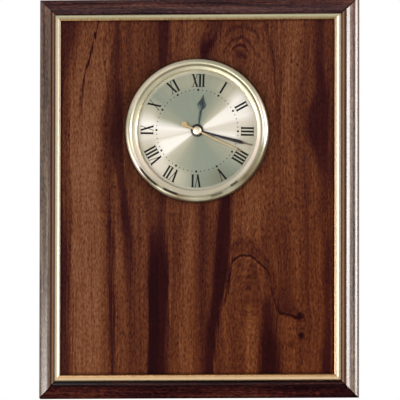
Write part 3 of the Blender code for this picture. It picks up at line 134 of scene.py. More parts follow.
class Recipe:
    """One shader tree, with its nodes added by kind and fed by the names of their inputs."""

    def __init__(self, tree):
        self.tree = tree

    def feed(self, socket, value):
        if isinstance(value, Output):
            self.tree.links.new(value.socket, socket)
        else:
            socket.default_value = value

    def add(self, kind, inputs=None, output=0, **settings):
        made = self.tree.nodes.new("ShaderNode" + kind)
        for name, value in settings.items():
            setattr(made, name, value)
        for name, value in (inputs or {}).items():
            self.feed(made.inputs[name], value)
        return Output(self, made.outputs[output])

    def outputs(self, node):
        return {socket.name: Output(self, socket) for socket in node.outputs}

    def group(self, tree, inputs):
        """The outputs of a node group, by name."""
        return self.outputs(self.add("Group", inputs, node_tree=tree).socket.node)

    def split(self, kind, value):
        """The parts of a vector or a colour, by name."""
        return self.outputs(self.add(kind, {0: value}).socket.node)

    def math(self, operation, *values, clamp=False):
        inputs = dict(enumerate(values))
        return self.add("Math", inputs, operation=operation, use_clamp=clamp)

    def vector(self, operation, *values, output="Vector"):
        inputs = dict(enumerate(values))
        return self.add("VectorMath", inputs, output, operation=operation)

    def scale(self, vector, factor):
        """A vector or a colour times a number."""
        inputs = {0: vector, "Scale": factor}
        return self.add("VectorMath", inputs, operation="SCALE")

    def length(self, vector):
        return self.vector("LENGTH", vector, output="Value")

    def mapped(self, vector, scale=(1.0, 1.0, 1.0), turn=(0.0, 0.0, 0.0), move=(0.0, 0.0, 0.0)):
        inputs = {"Vector": vector, "Scale": scale, "Rotation": turn, "Location": move}
        return self.add("Mapping", inputs)

    def noise(self, vector, scale=1.0, detail=2.0, roughness=0.5):
        inputs = {"Vector": vector, "Scale": scale, "Detail": detail, "Roughness": roughness}
        return self.add("TexNoise", inputs, "Fac")

    def blend(self, share, first, second, mode="MIX"):
        inputs = {0: share, 6: first, 7: second}
        return self.add("Mix", inputs, 2, data_type="RGBA", blend_type=mode)

    def ramp(self, value, stops, interpolation="LINEAR"):
        made = self.add("ValToRGB", {0: value})
        guide = made.socket.node.color_ramp
        guide.interpolation = interpolation
        while len(guide.elements) < len(stops):
            guide.elements.new(1.0)
        for element, (place, colour) in zip(guide.elements, stops):
            element.position = place
            element.color = colour
        return made

    def bump(self, height, depth):
        return self.add("Bump", {"Height": height, "Distance": depth * MM})


def new_group(name, **inputs):
    """An empty node group; returns its recipe and its inputs by name."""
    tree = bpy.data.node_groups.new(name, "ShaderNodeTree")
    for label, kind in inputs.items():
        tree.interface.new_socket(name=label, in_out="INPUT", socket_type="NodeSocket" + kind)
    recipe = Recipe(tree)
    return recipe, recipe.outputs(tree.nodes.new("NodeGroupInput"))


def close_group(recipe, **results):
    """Gives a node group its results, which are numbers; returns its tree."""
    tree = recipe.tree
    for label in results:
        tree.interface.new_socket(name=label, in_out="OUTPUT", socket_type="NodeSocketFloat")
    end = tree.nodes.new("NodeGroupOutput")
    for label, value in results.items():
        recipe.feed(end.inputs[label], value)
    return tree


# A band's course is kept in a ramp's colours, so its lengths are scaled to run from 0 to 1
COURSE_REACH = 240.0
COURSE_WIDTH = 20.0


def band_group():
    """A soft band whose middle and half width follow a course."""
    recipe, given = new_group("band", Across="Float", Course="Color", Left="Float", Right="Float")
    course = recipe.split("SeparateColor", given["Course"])
    offset = given["Across"] - course["Red"].scaled(COURSE_REACH, -COURSE_REACH / 2)
    outside = abs(offset) - course["Green"] * COURSE_WIDTH
    rightward = recipe.math("GREATER_THAN", offset, 0.0)
    softness = given["Left"].toward(rightward, given["Right"])
    mask = (outside / softness).between(-0.5, 0.5, 1.0, 0.0)
    return close_group(recipe, Mask=mask * course["Blue"])


# Where the grain parts round a knot or the arch, as (place, half width, height over width)
SWIRLS = [
    ((26.5, 91.0), 7.0, 1.5),
    ((34.0, -66.0), 15.0, 1.9),
    ((66.0, -82.0), 7.0, 1.6),
    ((5.0, 96.0), 4.0, 2.0),
    ((-60.0, 92.0), 3.0, 3.0),
]


def grain_group():
    """Walnut's grain along Z: its figure, lines, pores and fibre."""
    recipe, given = new_group("walnut_grain", Vector="Vector", Parting="Float")
    vector = given["Vector"]
    sway = recipe.noise(recipe.mapped(vector, (0.05, 0.05, 0.011)))
    ripple = recipe.noise(recipe.mapped(vector, (0.3, 0.3, 0.05)), detail=1.0)
    aside = sway.scaled(6.0, -3.0) + ripple.scaled(1.0, -0.5)
    for (across, up), half_width, stretch in SWIRLS:
        offset = recipe.vector("SUBTRACT", vector, (across, 0.0, up))
        offset = recipe.vector("MULTIPLY", offset, (1.0, 0.0, 1.0 / stretch))
        square = recipe.vector("DOT_PRODUCT", offset, offset, output="Value")
        share = half_width**2 / (square + half_width**2 / 3) * given["Parting"]
        sideways = recipe.split("SeparateXYZ", offset)["X"]
        aside = aside - sideways * share * 0.5
    wandered = recipe.vector("ADD", vector, recipe.add("CombineXYZ", {"X": aside}))

    def streaks(across, along, detail, roughness=0.5, move=(0.0, 0.0, 0.0)):
        stretched = recipe.mapped(wandered, (across, across, along), move=move)
        return recipe.noise(stretched, 1.0, detail, roughness)

    return close_group(
        recipe,
        Figure=streaks(0.16, 0.006, 3.0, 0.6),
        Lines=streaks(0.8, 0.02, 3.0, 0.65),
        Pores=streaks(1.3, 0.34, 2.0).between(0.5, 0.72),
        Fibre=streaks(1.25, 0.4, 2.0, move=(40.0, 0.0, 9.0)),
    )


def handling_group():
    """Cloudy handling marks and fine specks, each of a given size."""
    recipe, given = new_group("handling", Vector="Vector", Cloud="Float", Speck="Float")
    near = recipe.scale(given["Vector"], 1.0 / given["Cloud"])
    fine = recipe.scale(given["Vector"], 1.0 / given["Speck"])
    return close_group(
        recipe,
        Clouds=recipe.noise(near, detail=4.0, roughness=0.6),
        Specks=recipe.noise(fine, detail=2.0, roughness=0.6),
    )


BAND = band_group()
GRAIN = grain_group()
HANDLING = handling_group()


class Finish(Recipe):
    """A material with one Principled BSDF, and its object coordinates in millimetres."""

    def __init__(self, name, middle=0.0, **constants):
        material = bpy.data.materials.new(name)
        material.use_nodes = True
        super().__init__(material.node_tree)
        FINISHES[name] = material
        self.set(**constants)
        place = self.add("TexCoord", output="Object")
        self.place = self.mapped(place, (1.0 / MM,) * 3, move=(0.0, 0.0, 0.0 - middle))

    def set(self, **inputs):
        """Feeds the shader's inputs, with _ for the spaces in their names."""
        shader = self.tree.nodes["Principled BSDF"]
        for label, value in inputs.items():
            self.feed(shader.inputs[label.replace("_", " ")], value)

    def handling(self, cloud, speck):
        marks = self.group(HANDLING, {"Vector": self.place, "Cloud": cloud, "Speck": speck})
        return marks["Clouds"], marks["Specks"]

    def across_up(self):
        parts = self.split("SeparateXYZ", self.place)
        return parts["X"], parts["Z"]

    def reach(self):
        """The distance from the middle, in the plane of the board."""
        return self.length(self.vector("MULTIPLY", self.place, (1.0, 0.0, 1.0)))


def past_panel(across, up):
    """How far a point lies outside the panel, sideways and up or down."""
    return abs(across) - PANEL_X, abs(up) - PANEL_Z


# Walnut

# How much brighter than their own colour the lamps show the board's flat front
LAMP_GAIN = 2.0


def lit(red, green, blue, gain=LAMP_GAIN):
    """The linear colour that shows as this screen colour on the lit front."""
    return (*(min(1.0, value / gain) for value in srgb(red, green, blue)[:3]), 1.0)


# The veneer's tones, from its near-black bands to its lightest wood
TONES = [
    (0.12, lit(32, 9, 13)),
    (0.20, lit(44, 14, 15)),
    (0.28, lit(53, 20, 20)),
    (0.36, lit(62, 28, 23)),
    (0.45, lit(73, 35, 24)),
    (0.57, lit(88, 46, 29)),
    (0.67, lit(100, 56, 35)),
    (0.77, lit(111, 66, 42)),
    (0.90, lit(124, 79, 54)),
    (1.00, lit(134, 90, 66)),
]

# Bands of the veneer that run up the board: tone, softness of the left and right edges, and
# course, as (height, place across, half width, strength)
BANDS = {
    "shadow at the left edge": (0.3, 1.9, 5.1, [
        (-120.3, -87.6, 5.8, 0.8), (-85.1, -87.6, 5.8, 0.85), (-59.6, -87.6, 6.1, 1),
        (-34, -87.6, 5.8, 0.95), (-14.9, -87.6, 4.5, 0.85), (4.3, -87.6, 2.9, 0.65),
        (23.4, -87.6, 2.6, 0.55), (42.6, -87.6, 2.6, 0.55), (61.8, -87.6, 2.6, 0.65),
        (77.7, -86.9, 3.2, 0.75), (89.9, -86.3, 5.1, 0.8), (102.6, -85.7, 7.1, 0.8),
        (119.2, -85.7, 9, 0.85),
    ]),
    "light board on the left": (0.84, 5.8, 5.8, [
        (-120.3, -70.2, 9.6, 1), (-66, -70.2, 9.6, 1), (-34, -70.9, 9.6, 0.9), (-8.5, -70.9, 9, 0.9),
        (17.1, -72.2, 9, 1), (33, -71.5, 9.6, 0.95), (50.3, -71.5, 9.6, 0.95), (66.9, -69.6, 11.5, 0.85),
        (80.9, -67.7, 11.5, 0.8), (96.3, -65.7, 11.5, 0.55), (119.2, -63.2, 9, 0.35),
    ]),
    "haze beside it": (0.4, 3.8, 3.8, [
        (7.5, -56.1, 2.6, 0), (21.5, -55.5, 2.6, 0.25), (36.2, -55.5, 3.2, 0.6), (55.4, -55.5, 3.2, 0.5),
        (71.3, -56.1, 2.6, 0),
    ]),
    "long wandering streak": (0.26, 2.6, 3.2, [
        (-120.3, -42.6, 1.9, 0.25), (-72.4, -42.6, 2.2, 0.3), (-53.2, -43.2, 2.2, 0.5),
        (-37.2, -43.9, 2.6, 0.65), (-23.2, -44.9, 2.6, 0.85), (-10.4, -46.1, 2.6, 1),
        (4.3, -47.1, 2.2, 0.8), (18.3, -49.7, 2.9, 0.7), (34.9, -51.6, 3.8, 0.85), (50.3, -51, 3.2, 0.85),
        (66.9, -51, 2.2, 0.8), (80.9, -51.6, 1.9, 0.5), (96.3, -51, 1.6, 0.7), (119.2, -50.3, 1.6, 0.6),
    ]),
    "second streak": (0.22, 1.9, 3.2, [
        (-120.3, -53.5, 1.7, 0.7), (-101.7, -53.8, 1.7, 0.7), (-83.2, -54.2, 1.9, 0.8),
        (-67.3, -54.5, 1.9, 0.9), (-51.9, -55.5, 1.7, 0.7), (-37.2, -55.8, 1.5, 0.6),
        (-23.2, -56.1, 1.6, 0.8), (-11.7, -56.7, 1.3, 0.6), (-2.1, -57.4, 1, 0.35), (13.9, -58, 0.6, 0),
    ]),
    "light between them": (0.74, 1.9, 2.6, [
        (-120.3, -49, 1.9, 0.4), (-83.2, -49.7, 1.9, 0.5), (-67.3, -49.7, 1.9, 0.7),
        (-53.2, -50, 1.9, 0.8), (-37.2, -50.3, 1.9, 0.85), (-24.5, -50.3, 1.6, 0.45), (-9.8, -50.3, 1, 0),
    ]),
    "reddish board": (0.68, 3.2, 3.2, [
        (-41.7, -36.8, 2.6, 0), (-27.7, -37.5, 2.6, 0.15), (-10.4, -38.1, 3.2, 0.6),
        (4.3, -38.7, 2.6, 0.6), (20.2, -39.4, 2.6, 0.3),
    ]),
    "middle board": (0.62, 3.8, 5.1, [
        (-120.3, -7.3, 5.8, 0.3), (-53.2, -6, 5.8, 0.35), (-21.3, -6, 6.4, 0.55), (1.1, -6, 7.7, 0.5),
    ]),
    "near-black band": (0.13, 2.6, 4.5, [
        (-120.3, -25.9, 6.1, 1), (-101.7, -25.6, 6.1, 1), (-83.2, -24.6, 5.8, 1), (-67.3, -24.9, 6.1, 1),
        (-51.9, -24.9, 6.1, 1), (-37.2, -24.9, 5.4, 0.9), (-24.5, -25.3, 4.8, 0.65),
        (-17.4, -25.3, 3.8, 0.35), (-10.4, -27.2, 3.2, 0.15), (4.3, -27.2, 3.2, 0),
    ]),
    "leaning streak": (0.18, 3.8, 3.2, [
        (-120.3, 7.5, 3.2, 0.9), (-101.7, 8.5, 3.2, 0.9), (-83.2, 9.8, 3.5, 1), (-67.3, 12.3, 3.5, 1),
        (-51.9, 14.6, 4.5, 1), (-37.2, 15.9, 4.8, 0.95), (-23.2, 16.8, 4.5, 0.95),
        (-10.4, 17.5, 3.8, 0.95), (4.3, 18.4, 3.2, 0.85), (30, 19, 2.6, 0),
    ]),
    "light board on the right": (0.76, 5.8, 7.7, [
        (-41.7, 32.6, 5.1, 0), (-34, 32.6, 5.1, 0.1), (-23.2, 33.9, 6.4, 0.65), (-10.4, 35.2, 8.3, 0.8),
        (4.3, 36.4, 9, 0.7), (23.4, 37.1, 9, 0.2),
    ]),
    "upper right board": (0.74, 5.1, 5.1, [
        (-27.7, 53.1, 5.1, 0), (-11.7, 53.1, 5.1, 0.2), (4.3, 53.1, 5.1, 0.35), (19, 57, 5.1, 0.4),
        (34.9, 57.6, 3.8, 0.4), (50.9, 56.4, 3.8, 0.55), (66.9, 57, 4.5, 0.65), (81.6, 60.2, 5.8, 0.55),
        (96.3, 58.3, 7.1, 0.45), (119.2, 59.6, 7.1, 0.55),
    ]),
    "streak at the right edge": (0.25, 5.1, 3.8, [
        (-120.3, 82.7, 3.2, 1), (-101.7, 82.7, 3.2, 1), (-83.2, 83.3, 2.6, 0.8), (-67.3, 83, 2.6, 0.6),
        (-51.9, 83, 2.9, 0.8), (-37.2, 84, 3.2, 0.75), (-23.2, 80.8, 2.6, 0.35), (-10.4, 80.1, 3.2, 0.4),
        (4.3, 82.1, 3.2, 0.55), (19, 82.1, 5.1, 0.75), (34.9, 78.2, 7.1, 0.95), (50.9, 77.6, 7.7, 0.95),
        (66.9, 79.5, 4.5, 0.95), (81.6, 78.5, 3.8, 0.95), (96.3, 78.2, 3.8, 0.65),
        (119.2, 77.6, 3.2, 0.8),
    ]),
    "shadow by the right slip": (0.42, 2.6, 2.6, [
        (-120.3, 87.2, 1.9, 0.3), (-59.6, 87.2, 2.6, 0.6), (-34, 87.2, 3.2, 0.9), (4.3, 87.2, 2.6, 0.3),
        (29.8, 87.2, 2.6, 0.7), (55.4, 87.2, 2.6, 0.7), (74.5, 87.2, 1.9, 0.3),
    ]),
    "streak over the clock": (0.25, 1.9, 4.5, [
        (80.9, -22, 2.6, 0.5), (89.2, -21.7, 3.2, 0.85), (100.1, -21.4, 3.5, 0.9),
        (119.2, -21.4, 3.8, 0.95),
    ]),
    "light over the clock": (0.72, 3.8, 2.6, [
        (80.9, -6, 3.8, 0.8), (96.3, -6, 3.8, 0.85), (119.2, -5.3, 3.8, 0.6),
    ]),
    "smudge over the clock": (0.2, 3.2, 3.8, [
        (86, 4.3, 2.6, 0.5), (91.8, 4.6, 3.2, 0.95), (97.5, 5.3, 3.5, 0.85), (103.9, 5.6, 2.6, 0.3),
        (110.3, 4.9, 1.9, 0),
    ]),
    "vein that leans to the smudge": (0.2, 1.4, 2.2, [
        (91, 5, 1.5, 0), (95, 7, 2, 0.8), (100, 9.6, 1.8, 0.8), (106.5, 12.8, 1.5, 0.75),
        (113, 15.5, 1.4, 0.65), (119.2, 18, 1.3, 0.6),
    ]),
    "vein right of the knot": (0.34, 1.1, 1.6, [
        (30, 50.5, 0.7, 0), (50, 50.8, 0.8, 0.5), (70, 49.8, 0.9, 0.7), (85, 48.5, 1, 0.75),
        (98, 46.5, 1.1, 0.75), (110, 43, 1, 0.7), (119.2, 40, 0.9, 0.6),
    ]),
    "dull patch at the top": (0.42, 7.7, 7.7, [
        (93.7, 18.4, 7.7, 0), (100.1, 18.4, 9, 0.12), (107.7, 19.7, 14.1, 0.6), (119.2, 19.7, 15.4, 0.7),
    ]),
    "band under the arch": (0.17, 2.6, 7.7, [
        (-120.3, 46.7, 6.4, 1), (-94.7, 46.1, 5.8, 1), (-85.1, 45.4, 4.5, 0.85), (-75.6, 45.8, 4.2, 0.7),
        (-67.3, 45.4, 3.8, 0.5), (-60.9, 45.4, 2.6, 0),
    ]),
    "light left of it": (0.74, 3.8, 1.9, [
        (-120.3, 34.5, 3.2, 0.7), (-94.7, 35.2, 3.2, 0.8), (-76.2, 35.2, 3.2, 0.7), (-62.8, 34.5, 2.6, 0),
    ]),
    "light right of it": (0.66, 2.6, 3.8, [
        (-94.1, 57, 2.6, 0), (-87.7, 57.6, 2.6, 0.5), (-77.5, 57.6, 3.2, 0.75), (-73.6, 57.6, 2.6, 0),
    ]),
    "dark right of the arch": (0.36, 3.2, 5.1, [
        (-77.5, 60.2, 5.1, 0), (-74.3, 59.6, 5.1, 0.85), (-71.7, 58.3, 5.1, 0.85), (-66, 57, 3.8, 0.7),
        (-58.3, 55.7, 2.6, 0.3), (-48.1, 54.4, 1.3, 0),
    ]),
    "red board, low right": (0.55, 5.1, 5.1, [
        (-120.3, 73.7, 4.5, 0.4), (-94.7, 73.7, 4.5, 0.4), (-85.1, 72.4, 5.1, 0),
    ]),
    "thin black vein": (0.1, 0.8, 0.8, [
        (45.8, -74.7, 0.9, 0), (54.1, -74.7, 0.9, 0.2), (63.7, -74.1, 0.9, 0.4), (71.3, -73.3, 0.8, 0.6),
        (77.7, -72.3, 0.6, 0.7), (83.5, -70.8, 0.5, 0.9), (89.2, -69.1, 0.5, 0.9),
        (93.7, -67.9, 0.5, 0.9), (100.1, -66.3, 0.6, 0.95), (106.5, -64.3, 0.6, 0.95),
        (112.9, -62.8, 0.6, 0.95), (119.2, -61.2, 0.6, 0.9),
    ]),
    "faint vein": (0.4, 0.9, 0.9, [
        (4.3, -58, 0.6, 0), (17.1, -58.7, 0.6, 0.3), (36.2, -59, 0.6, 0.4), (50.3, -58.7, 0.6, 0.5),
        (65, -57.7, 0.6, 0.6), (77.7, -58.3, 0.6, 0.5), (90.5, -59.2, 0.6, 0.6), (101.4, -58.8, 0.6, 0.6),
        (111.6, -55.8, 0.5, 0.5), (119.2, -54.2, 0.5, 0.4),
    ]),
    "edge of the light board": (0.34, 1.3, 1.3, [
        (63, -55.6, 0.6, 0), (74.5, -55.6, 0.6, 0.3), (87.3, -55.1, 0.8, 0.6), (95, -53.9, 0.8, 0.7),
        (103.3, -52.2, 0.7, 0.65), (111.6, -51, 0.6, 0.6), (119.2, -50.3, 0.6, 0.6),
    ]),
    "arch, left side": (0.13, 0.9, 0.9, [
        (-73.6, 16.2, 0.6, 0), (-67.9, 17.5, 0.6, 0.5), (-61.5, 19, 0.6, 0.85), (-55.8, 19.6, 0.6, 0.9),
        (-50, 20.4, 0.6, 0.9), (-44.9, 21.4, 0.6, 0.9), (-41.4, 22.7, 0.6, 0.9), (-39.5, 23.9, 0.6, 0.9),
        (-38.2, 24.9, 0.6, 0),
    ]),
    "arch, right side": (0.15, 1, 1, [
        (-76.2, 53.8, 0.6, 0), (-74, 52.7, 0.8, 0.9), (-70.4, 50.9, 0.8, 0.9), (-66, 49.4, 0.6, 0.85),
        (-60.9, 48, 0.6, 0.8), (-55.8, 46.8, 0.6, 0.85), (-50.6, 45.9, 0.6, 0.85),
        (-47.5, 44.5, 0.6, 0.7), (-45.5, 43.2, 0.5, 0),
    ]),
    "grain in the arch": (0.4, 1.3, 1.3, [
        (-86.4, 28.7, 0.6, 0), (-81.3, 28.4, 0.8, 0.5), (-74.9, 28.6, 0.9, 0.6), (-69.8, 29.7, 0.8, 0.4),
        (-66, 31.3, 0.6, 0),
    ]),
    "thread, low in the arch": (0.4, 1, 1, [
        (-120.3, 27.4, 0.6, 0.4), (-109.4, 28.4, 0.6, 0.5), (-101.1, 29.7, 0.6, 0.5),
        (-94.7, 31.3, 0.5, 0),
    ]),
    "shade right of the arch": (0.36, 1.5, 4.5, [
        (-77, 57.5, 2.5, 0), (-70, 54, 2.6, 0.7), (-60, 51, 2.6, 0.6), (-50, 48.5, 2.4, 0.6),
        (-43, 45.5, 2.2, 0.5), (-36, 42, 1.5, 0),
    ]),
    "curl by the arch": (0.42, 1, 1, [
        (-66, 58.3, 0.6, 0), (-58.3, 56.4, 0.8, 0.5), (-50, 54.4, 0.6, 0.5), (-41.7, 51.9, 0.6, 0.5),
        (-34, 49.9, 0.5, 0),
    ]),
    "second curl": (0.45, 1, 1, [
        (-73.6, 66, 0.6, 0), (-67.9, 62.8, 0.6, 0.3), (-59.6, 59.9, 0.6, 0.45), (-50, 58.3, 0.6, 0.45),
        (-41.7, 56.4, 0.5, 0),
    ]),
}

# Bands that run across the board, with courses as (place across, height, half width, strength)
CROSS_BANDS = {
    "crown of the arch": (0.12, 1, 1, [
        (20.7, -43.6, 0.5, 0), (22.6, -41.1, 0.7, 0.9), (24.9, -39, 0.7, 0.95), (28.1, -37.7, 0.6, 0.95),
        (31.9, -37.4, 0.6, 0.9), (34.5, -38.2, 0.6, 0.9), (37.1, -40.1, 0.6, 0.9),
        (39.6, -42.3, 0.7, 0.9), (42.5, -44.9, 0.7, 0.9), (44.5, -46.7, 0.6, 0.8), (46.1, -48.7, 0.5, 0),
    ]),
    "step of the arch": (0.13, 1, 1, [
        (50.9, -73.3, 0.5, 0), (52.8, -74.4, 0.8, 0.9), (56.4, -74.9, 0.6, 0.9), (60.2, -75.8, 0.8, 0.9),
        (63.4, -77.2, 1.3, 0.95), (66, -77, 1.7, 0.95), (67.9, -76.2, 1.3, 0.5), (69.9, -76.2, 0.6, 0),
    ]),
    "shade over the arch": (0.38, 3.2, 5, [
        (17, -36, 1.5, 0), (21, -33.5, 3, 0.6), (28, -31, 4, 0.6), (35, -32.5, 4, 0.6),
        (41, -38, 3.2, 0.6), (47, -44, 2, 0),
    ]),
    "echo over the arch": (0.56, 1.3, 1.3, [
        (19.7, -36, 1.3, 0), (23.6, -33.7, 1.5, 0.5), (29.4, -32.1, 1.9, 0.6), (35.2, -33.4, 1.7, 0.6),
        (39, -36.6, 1.3, 0.4), (42.9, -40.4, 1, 0),
    ]),
    "inner ring of the knot": (0.28, 0.8, 0.8, [
        (20, 90.5, 0.5, 0), (22.5, 94.5, 0.9, 0.9), (27, 96.8, 1, 0.95), (31.5, 94, 0.9, 0.9),
        (34, 89.5, 0.5, 0),
    ]),
    "outer ring of the knot": (0.34, 1.1, 1.1, [
        (14, 88.5, 0.6, 0), (18, 95, 0.8, 0.7), (22.5, 99.8, 1.1, 0.9), (27.5, 101.5, 1.2, 0.9),
        (32.5, 98.8, 1.1, 0.9), (36.5, 92.5, 0.9, 0.8), (39.5, 85, 0.6, 0),
    ]),
    "crown over the knot": (0.38, 1.5, 1.5, [
        (13, 98, 0.6, 0), (18.5, 104.5, 1.2, 0.8), (25, 108.2, 1.5, 0.85), (32, 107.8, 1.6, 0.85),
        (38.5, 102.5, 1.2, 0.8), (44, 93, 0.8, 0),
    ]),
    "ripple in the arch": (0.46, 1.5, 1.5, [
        (29.4, -67.9, 0.6, 0), (32.6, -65.3, 0.9, 0.5), (37.7, -64.4, 0.9, 0.5), (42.9, -66, 1, 0.4),
        (45.4, -67.9, 0.6, 0),
    ]),
    "rim in the arch": (0.72, 1, 1, [
        (20.4, -48.7, 0.5, 0), (22.6, -43.3, 0.5, 0.6), (25.2, -40.6, 0.6, 0.8), (28.1, -39.3, 0.6, 0.8),
        (31.9, -39, 0.6, 0.6), (35.2, -40.7, 0.6, 0.6), (39, -44.3, 0.6, 0.7), (41.9, -47, 0.6, 0.6),
        (44.1, -49.4, 0.5, 0),
    ]),
}

# Knots and pores, as (place, radius, softness, tone, strength), and their width over height
KNOTS = [
    ((27.4, 90.5), 1.9, 2.6, 0.26, 0.75),
    ((66.3, -88.7), 1.7, 2.2, 0.12, 0.95),
    ((65, -75.7), 1.5, 1.7, 0.13, 0.9),
    ((61.5, -90.6), 1, 1.3, 0.5, 0.8),
    ((60.2, -94.1), 1.9, 2.6, 0.3, 0.7),
    ((24.2, 93.1), 1, 1.9, 0.3, 0.5),
    ((30.3, 89.2), 1.3, 1.9, 0.24, 0.7),
    ((63.7, 84.1), 0.8, 1, 0.3, 0.7),
]
KNOT_SHARE = 0.8


def course_guide(recipe, share, course):
    """A course as colours along a share: red its middle, green its width, blue its strength."""
    stops = []
    for place, middle, half_width, strength in course:
        colour = (middle / COURSE_REACH + 0.5, half_width / COURSE_WIDTH, strength, 1.0)
        stops.append((place / COURSE_REACH + 0.5, colour))
    return recipe.ramp(share, stops, "CARDINAL")


def walnut_face():
    """The polished veneer, with its dark bands, cathedral arch and knots where they lie, and painted
    shade by the slips and round the bezel.
    """
    finish = Finish(
        "walnut_face", Coat_Weight=1.0, Coat_Roughness=0.05, Coat_IOR=1.45, Roughness=0.6,
        Specular_IOR_Level=0.0,
    )
    grain = finish.group(GRAIN, {"Vector": finish.place, "Parting": 1.0})
    across, up = finish.across_up()
    fray = grain["Lines"].scaled(7.0, -3.5)
    share_up = up.scaled(1.0 / COURSE_REACH, 0.5)
    share_across = across.scaled(1.0 / COURSE_REACH, 0.5)
    value = grain["Figure"].between(0.3, 0.7, 0.47, 0.65)
    for place, share, bands in (
        (across + fray, share_up, BANDS),
        (up + fray * 0.5, share_across, CROSS_BANDS),
    ):
        for tone, left, right, course in bands.values():
            guide = course_guide(finish, share, course)
            inputs = {"Across": place, "Course": guide, "Left": left, "Right": right}
            value = value.toward(finish.group(BAND, inputs)["Mask"], tone)
    flat = finish.vector("MULTIPLY", finish.place, (1.0, 0.0, KNOT_SHARE))
    for middle, radius, softness, tone, strength in KNOTS:
        offset = finish.vector("SUBTRACT", flat, (middle[0], 0.0, middle[1] * KNOT_SHARE))
        edge = (finish.length(offset) - radius) / softness
        value = value.toward(edge.between(-0.5, 0.5, 1.0, 0.0) * strength, tone)
    # Fine grain shows less in the dark bands
    detail = grain["Lines"].scaled(0.55, -0.275) + grain["Fibre"].scaled(0.8, -0.38)
    detail = detail + grain["Pores"] * -0.2
    value = detail.scaled(value.between(0.1, 0.7, 0.25, 1.0), value)
    # Redder towards the lower right
    redness = grain["Figure"].scaled(40.0, across - up)
    colour = finish.ramp(value, TONES).times(redness.between(-30.0, 190.0), 1.0, 0.87, 0.66)
    # Painted shade darkens the last millimetre by the slips and round the bezel, where their contact
    # shadow falls
    beside, above = past_panel(across, up)
    edge = beside.most(above).between(-2.8, -0.9)
    centred = finish.vector("SUBTRACT", finish.place, (0.0, 0.0, CLOCK_Z))
    centred = finish.vector("MULTIPLY", centred, (1.0, 0.0, 1.0))
    bezel_shade = finish.length(centred).between(45.6, 47.2, 1.0, 0.0)
    colour = colour.times(edge.most(bezel_shade) * 0.7, 0.3, 0.2, 0.12)
    finish.set(Base_Color=colour, Normal=finish.bump(grain["Pores"] * -1.0, 0.006))


def walnut_rail(name, turn):
    """A dark moulding with grain along its length; returns what the two kinds share."""
    finish = Finish(
        name, Coat_Roughness=0.16, Coat_IOR=1.5, Roughness=0.5, Specular_IOR_Level=0.0
    )
    along = finish.mapped(finish.place, turn=(0.0, turn, 0.0), move=(31.0, 7.0, 190.0))
    grain = finish.group(GRAIN, {"Vector": along})
    across, up = finish.across_up()
    detail = grain["Lines"].scaled(0.8, -0.4) + grain["Fibre"].scaled(0.7, -0.35)
    value = grain["Figure"] + (detail + grain["Pores"] * -0.1)
    finish.set(Normal=finish.bump(grain["Fibre"] + grain["Pores"] * -1.0, 0.012))
    return finish, across, up, *past_panel(across, up), value


# The four mouldings are one wood: their palettes differ by painted light and shade, the sides paler where
# the lamps fall and the bottom darkest
SIDE_TONES = [
    (0.25, srgb(34, 21, 17)), (0.45, srgb(60, 38, 30)), (0.58, srgb(76, 51, 41)),
    (0.80, srgb(98, 73, 61)),
]
TOP_TONES = [
    (0.30, srgb(24, 9, 11)), (0.48, srgb(42, 20, 19)), (0.62, srgb(60, 33, 27)),
    (0.80, srgb(78, 46, 38)),
]
BOTTOM_TONES = [
    (0.30, srgb(10, 2, 3)), (0.48, srgb(28, 8, 9)), (0.58, srgb(40, 13, 10)),
    (0.74, srgb(62, 28, 20)),
]


def walnut_edge_up():
    """The side mouldings: brown, glossy, paler along the flat beside the slip, with a painted shade line
    where the hollow begins and a painted sheen in the hollow.
    """
    finish, _, up, beside, _, value = walnut_rail("walnut_edge_up", 0.0)
    colour = finish.ramp(value, SIDE_TONES)
    ledge = beside.between(4.4, 7.4, 1.0, 0.0)
    colour = finish.blend(ledge * 0.6, colour, srgb(120, 93, 72))
    # Painted shade: a dark line where the flat turns down into the hollow
    crease_shade = 1.0 - abs(beside - 5.7).between(0.3, 0.95)
    colour = colour.times(crease_shade * 0.9, 0.22, 0.15, 0.1)
    # Painted sheen: the hollow is made paler and greyer where it mirrors the side lamps, less so near the
    # top
    cove_sheen = beside.between(7.0, 8.5) * up.between(30.0, 110.0, 1.0, 0.2)
    colour = colour.times(cove_sheen, 1.2, 1.6, 1.55)
    wall = beside.between(13.3, 13.5)
    gloss = beside.between(6.0, 7.0, 0.12, 1.0).toward(wall, 0.35)
    finish.set(Base_Color=colour, Coat_Weight=gloss)


def walnut_edge_across():
    """The top and bottom mouldings: near black, darker and duller low down, with dark mitre lines, a
    painted shade line by the slip and a painted sheen in the top one's hollow.
    """
    finish, across, up, beside, above, value = walnut_rail("walnut_edge_across", radians(90.0))
    # Painted shade: the bottom moulding takes the darker palette
    low = up.between(-100.0, 100.0, 1.0, 0.0)
    value = value + above.between(6.5, 12.5, -0.06, 0.03) * low
    colour = finish.blend(low, finish.ramp(value, TOP_TONES), finish.ramp(value, BOTTOM_TONES))
    joint = (beside - above).between(-1.5, -0.4) * (across - up).between(-190.0, -120.0, 0.3, 1.0)
    # Painted shade: a dark line along the flat by the slip, stronger on the bottom moulding
    groove = above.between(3.9, 5.4, 1.0, 0.0) * low.scaled(0.2, 0.5)
    joint_and_shade = joint.most(groove)
    # Painted sheen: the top moulding's hollow is made paler and bluer, as its reflection
    cove_sheen = above.between(5.6, 9.0, 1.0, 0.0) * 0.8 * (1.0 - low)
    colour = colour.times(cove_sheen, 1.7, 2.2, 2.6).times(joint_and_shade, 0.05, 0.03, 0.03)
    gloss = low.between(0.0, 1.0, 0.45, 0.02)
    gloss = gloss.toward(above.between(5.2, 6.2, 1.0, 0.0), 0.9)
    gloss = gloss * (1.0 - joint_and_shade) * above.between(13.2, 13.5, 1.0, 0.25)
    finish.set(Base_Color=colour, Coat_Weight=gloss)


# Metals and other finishes


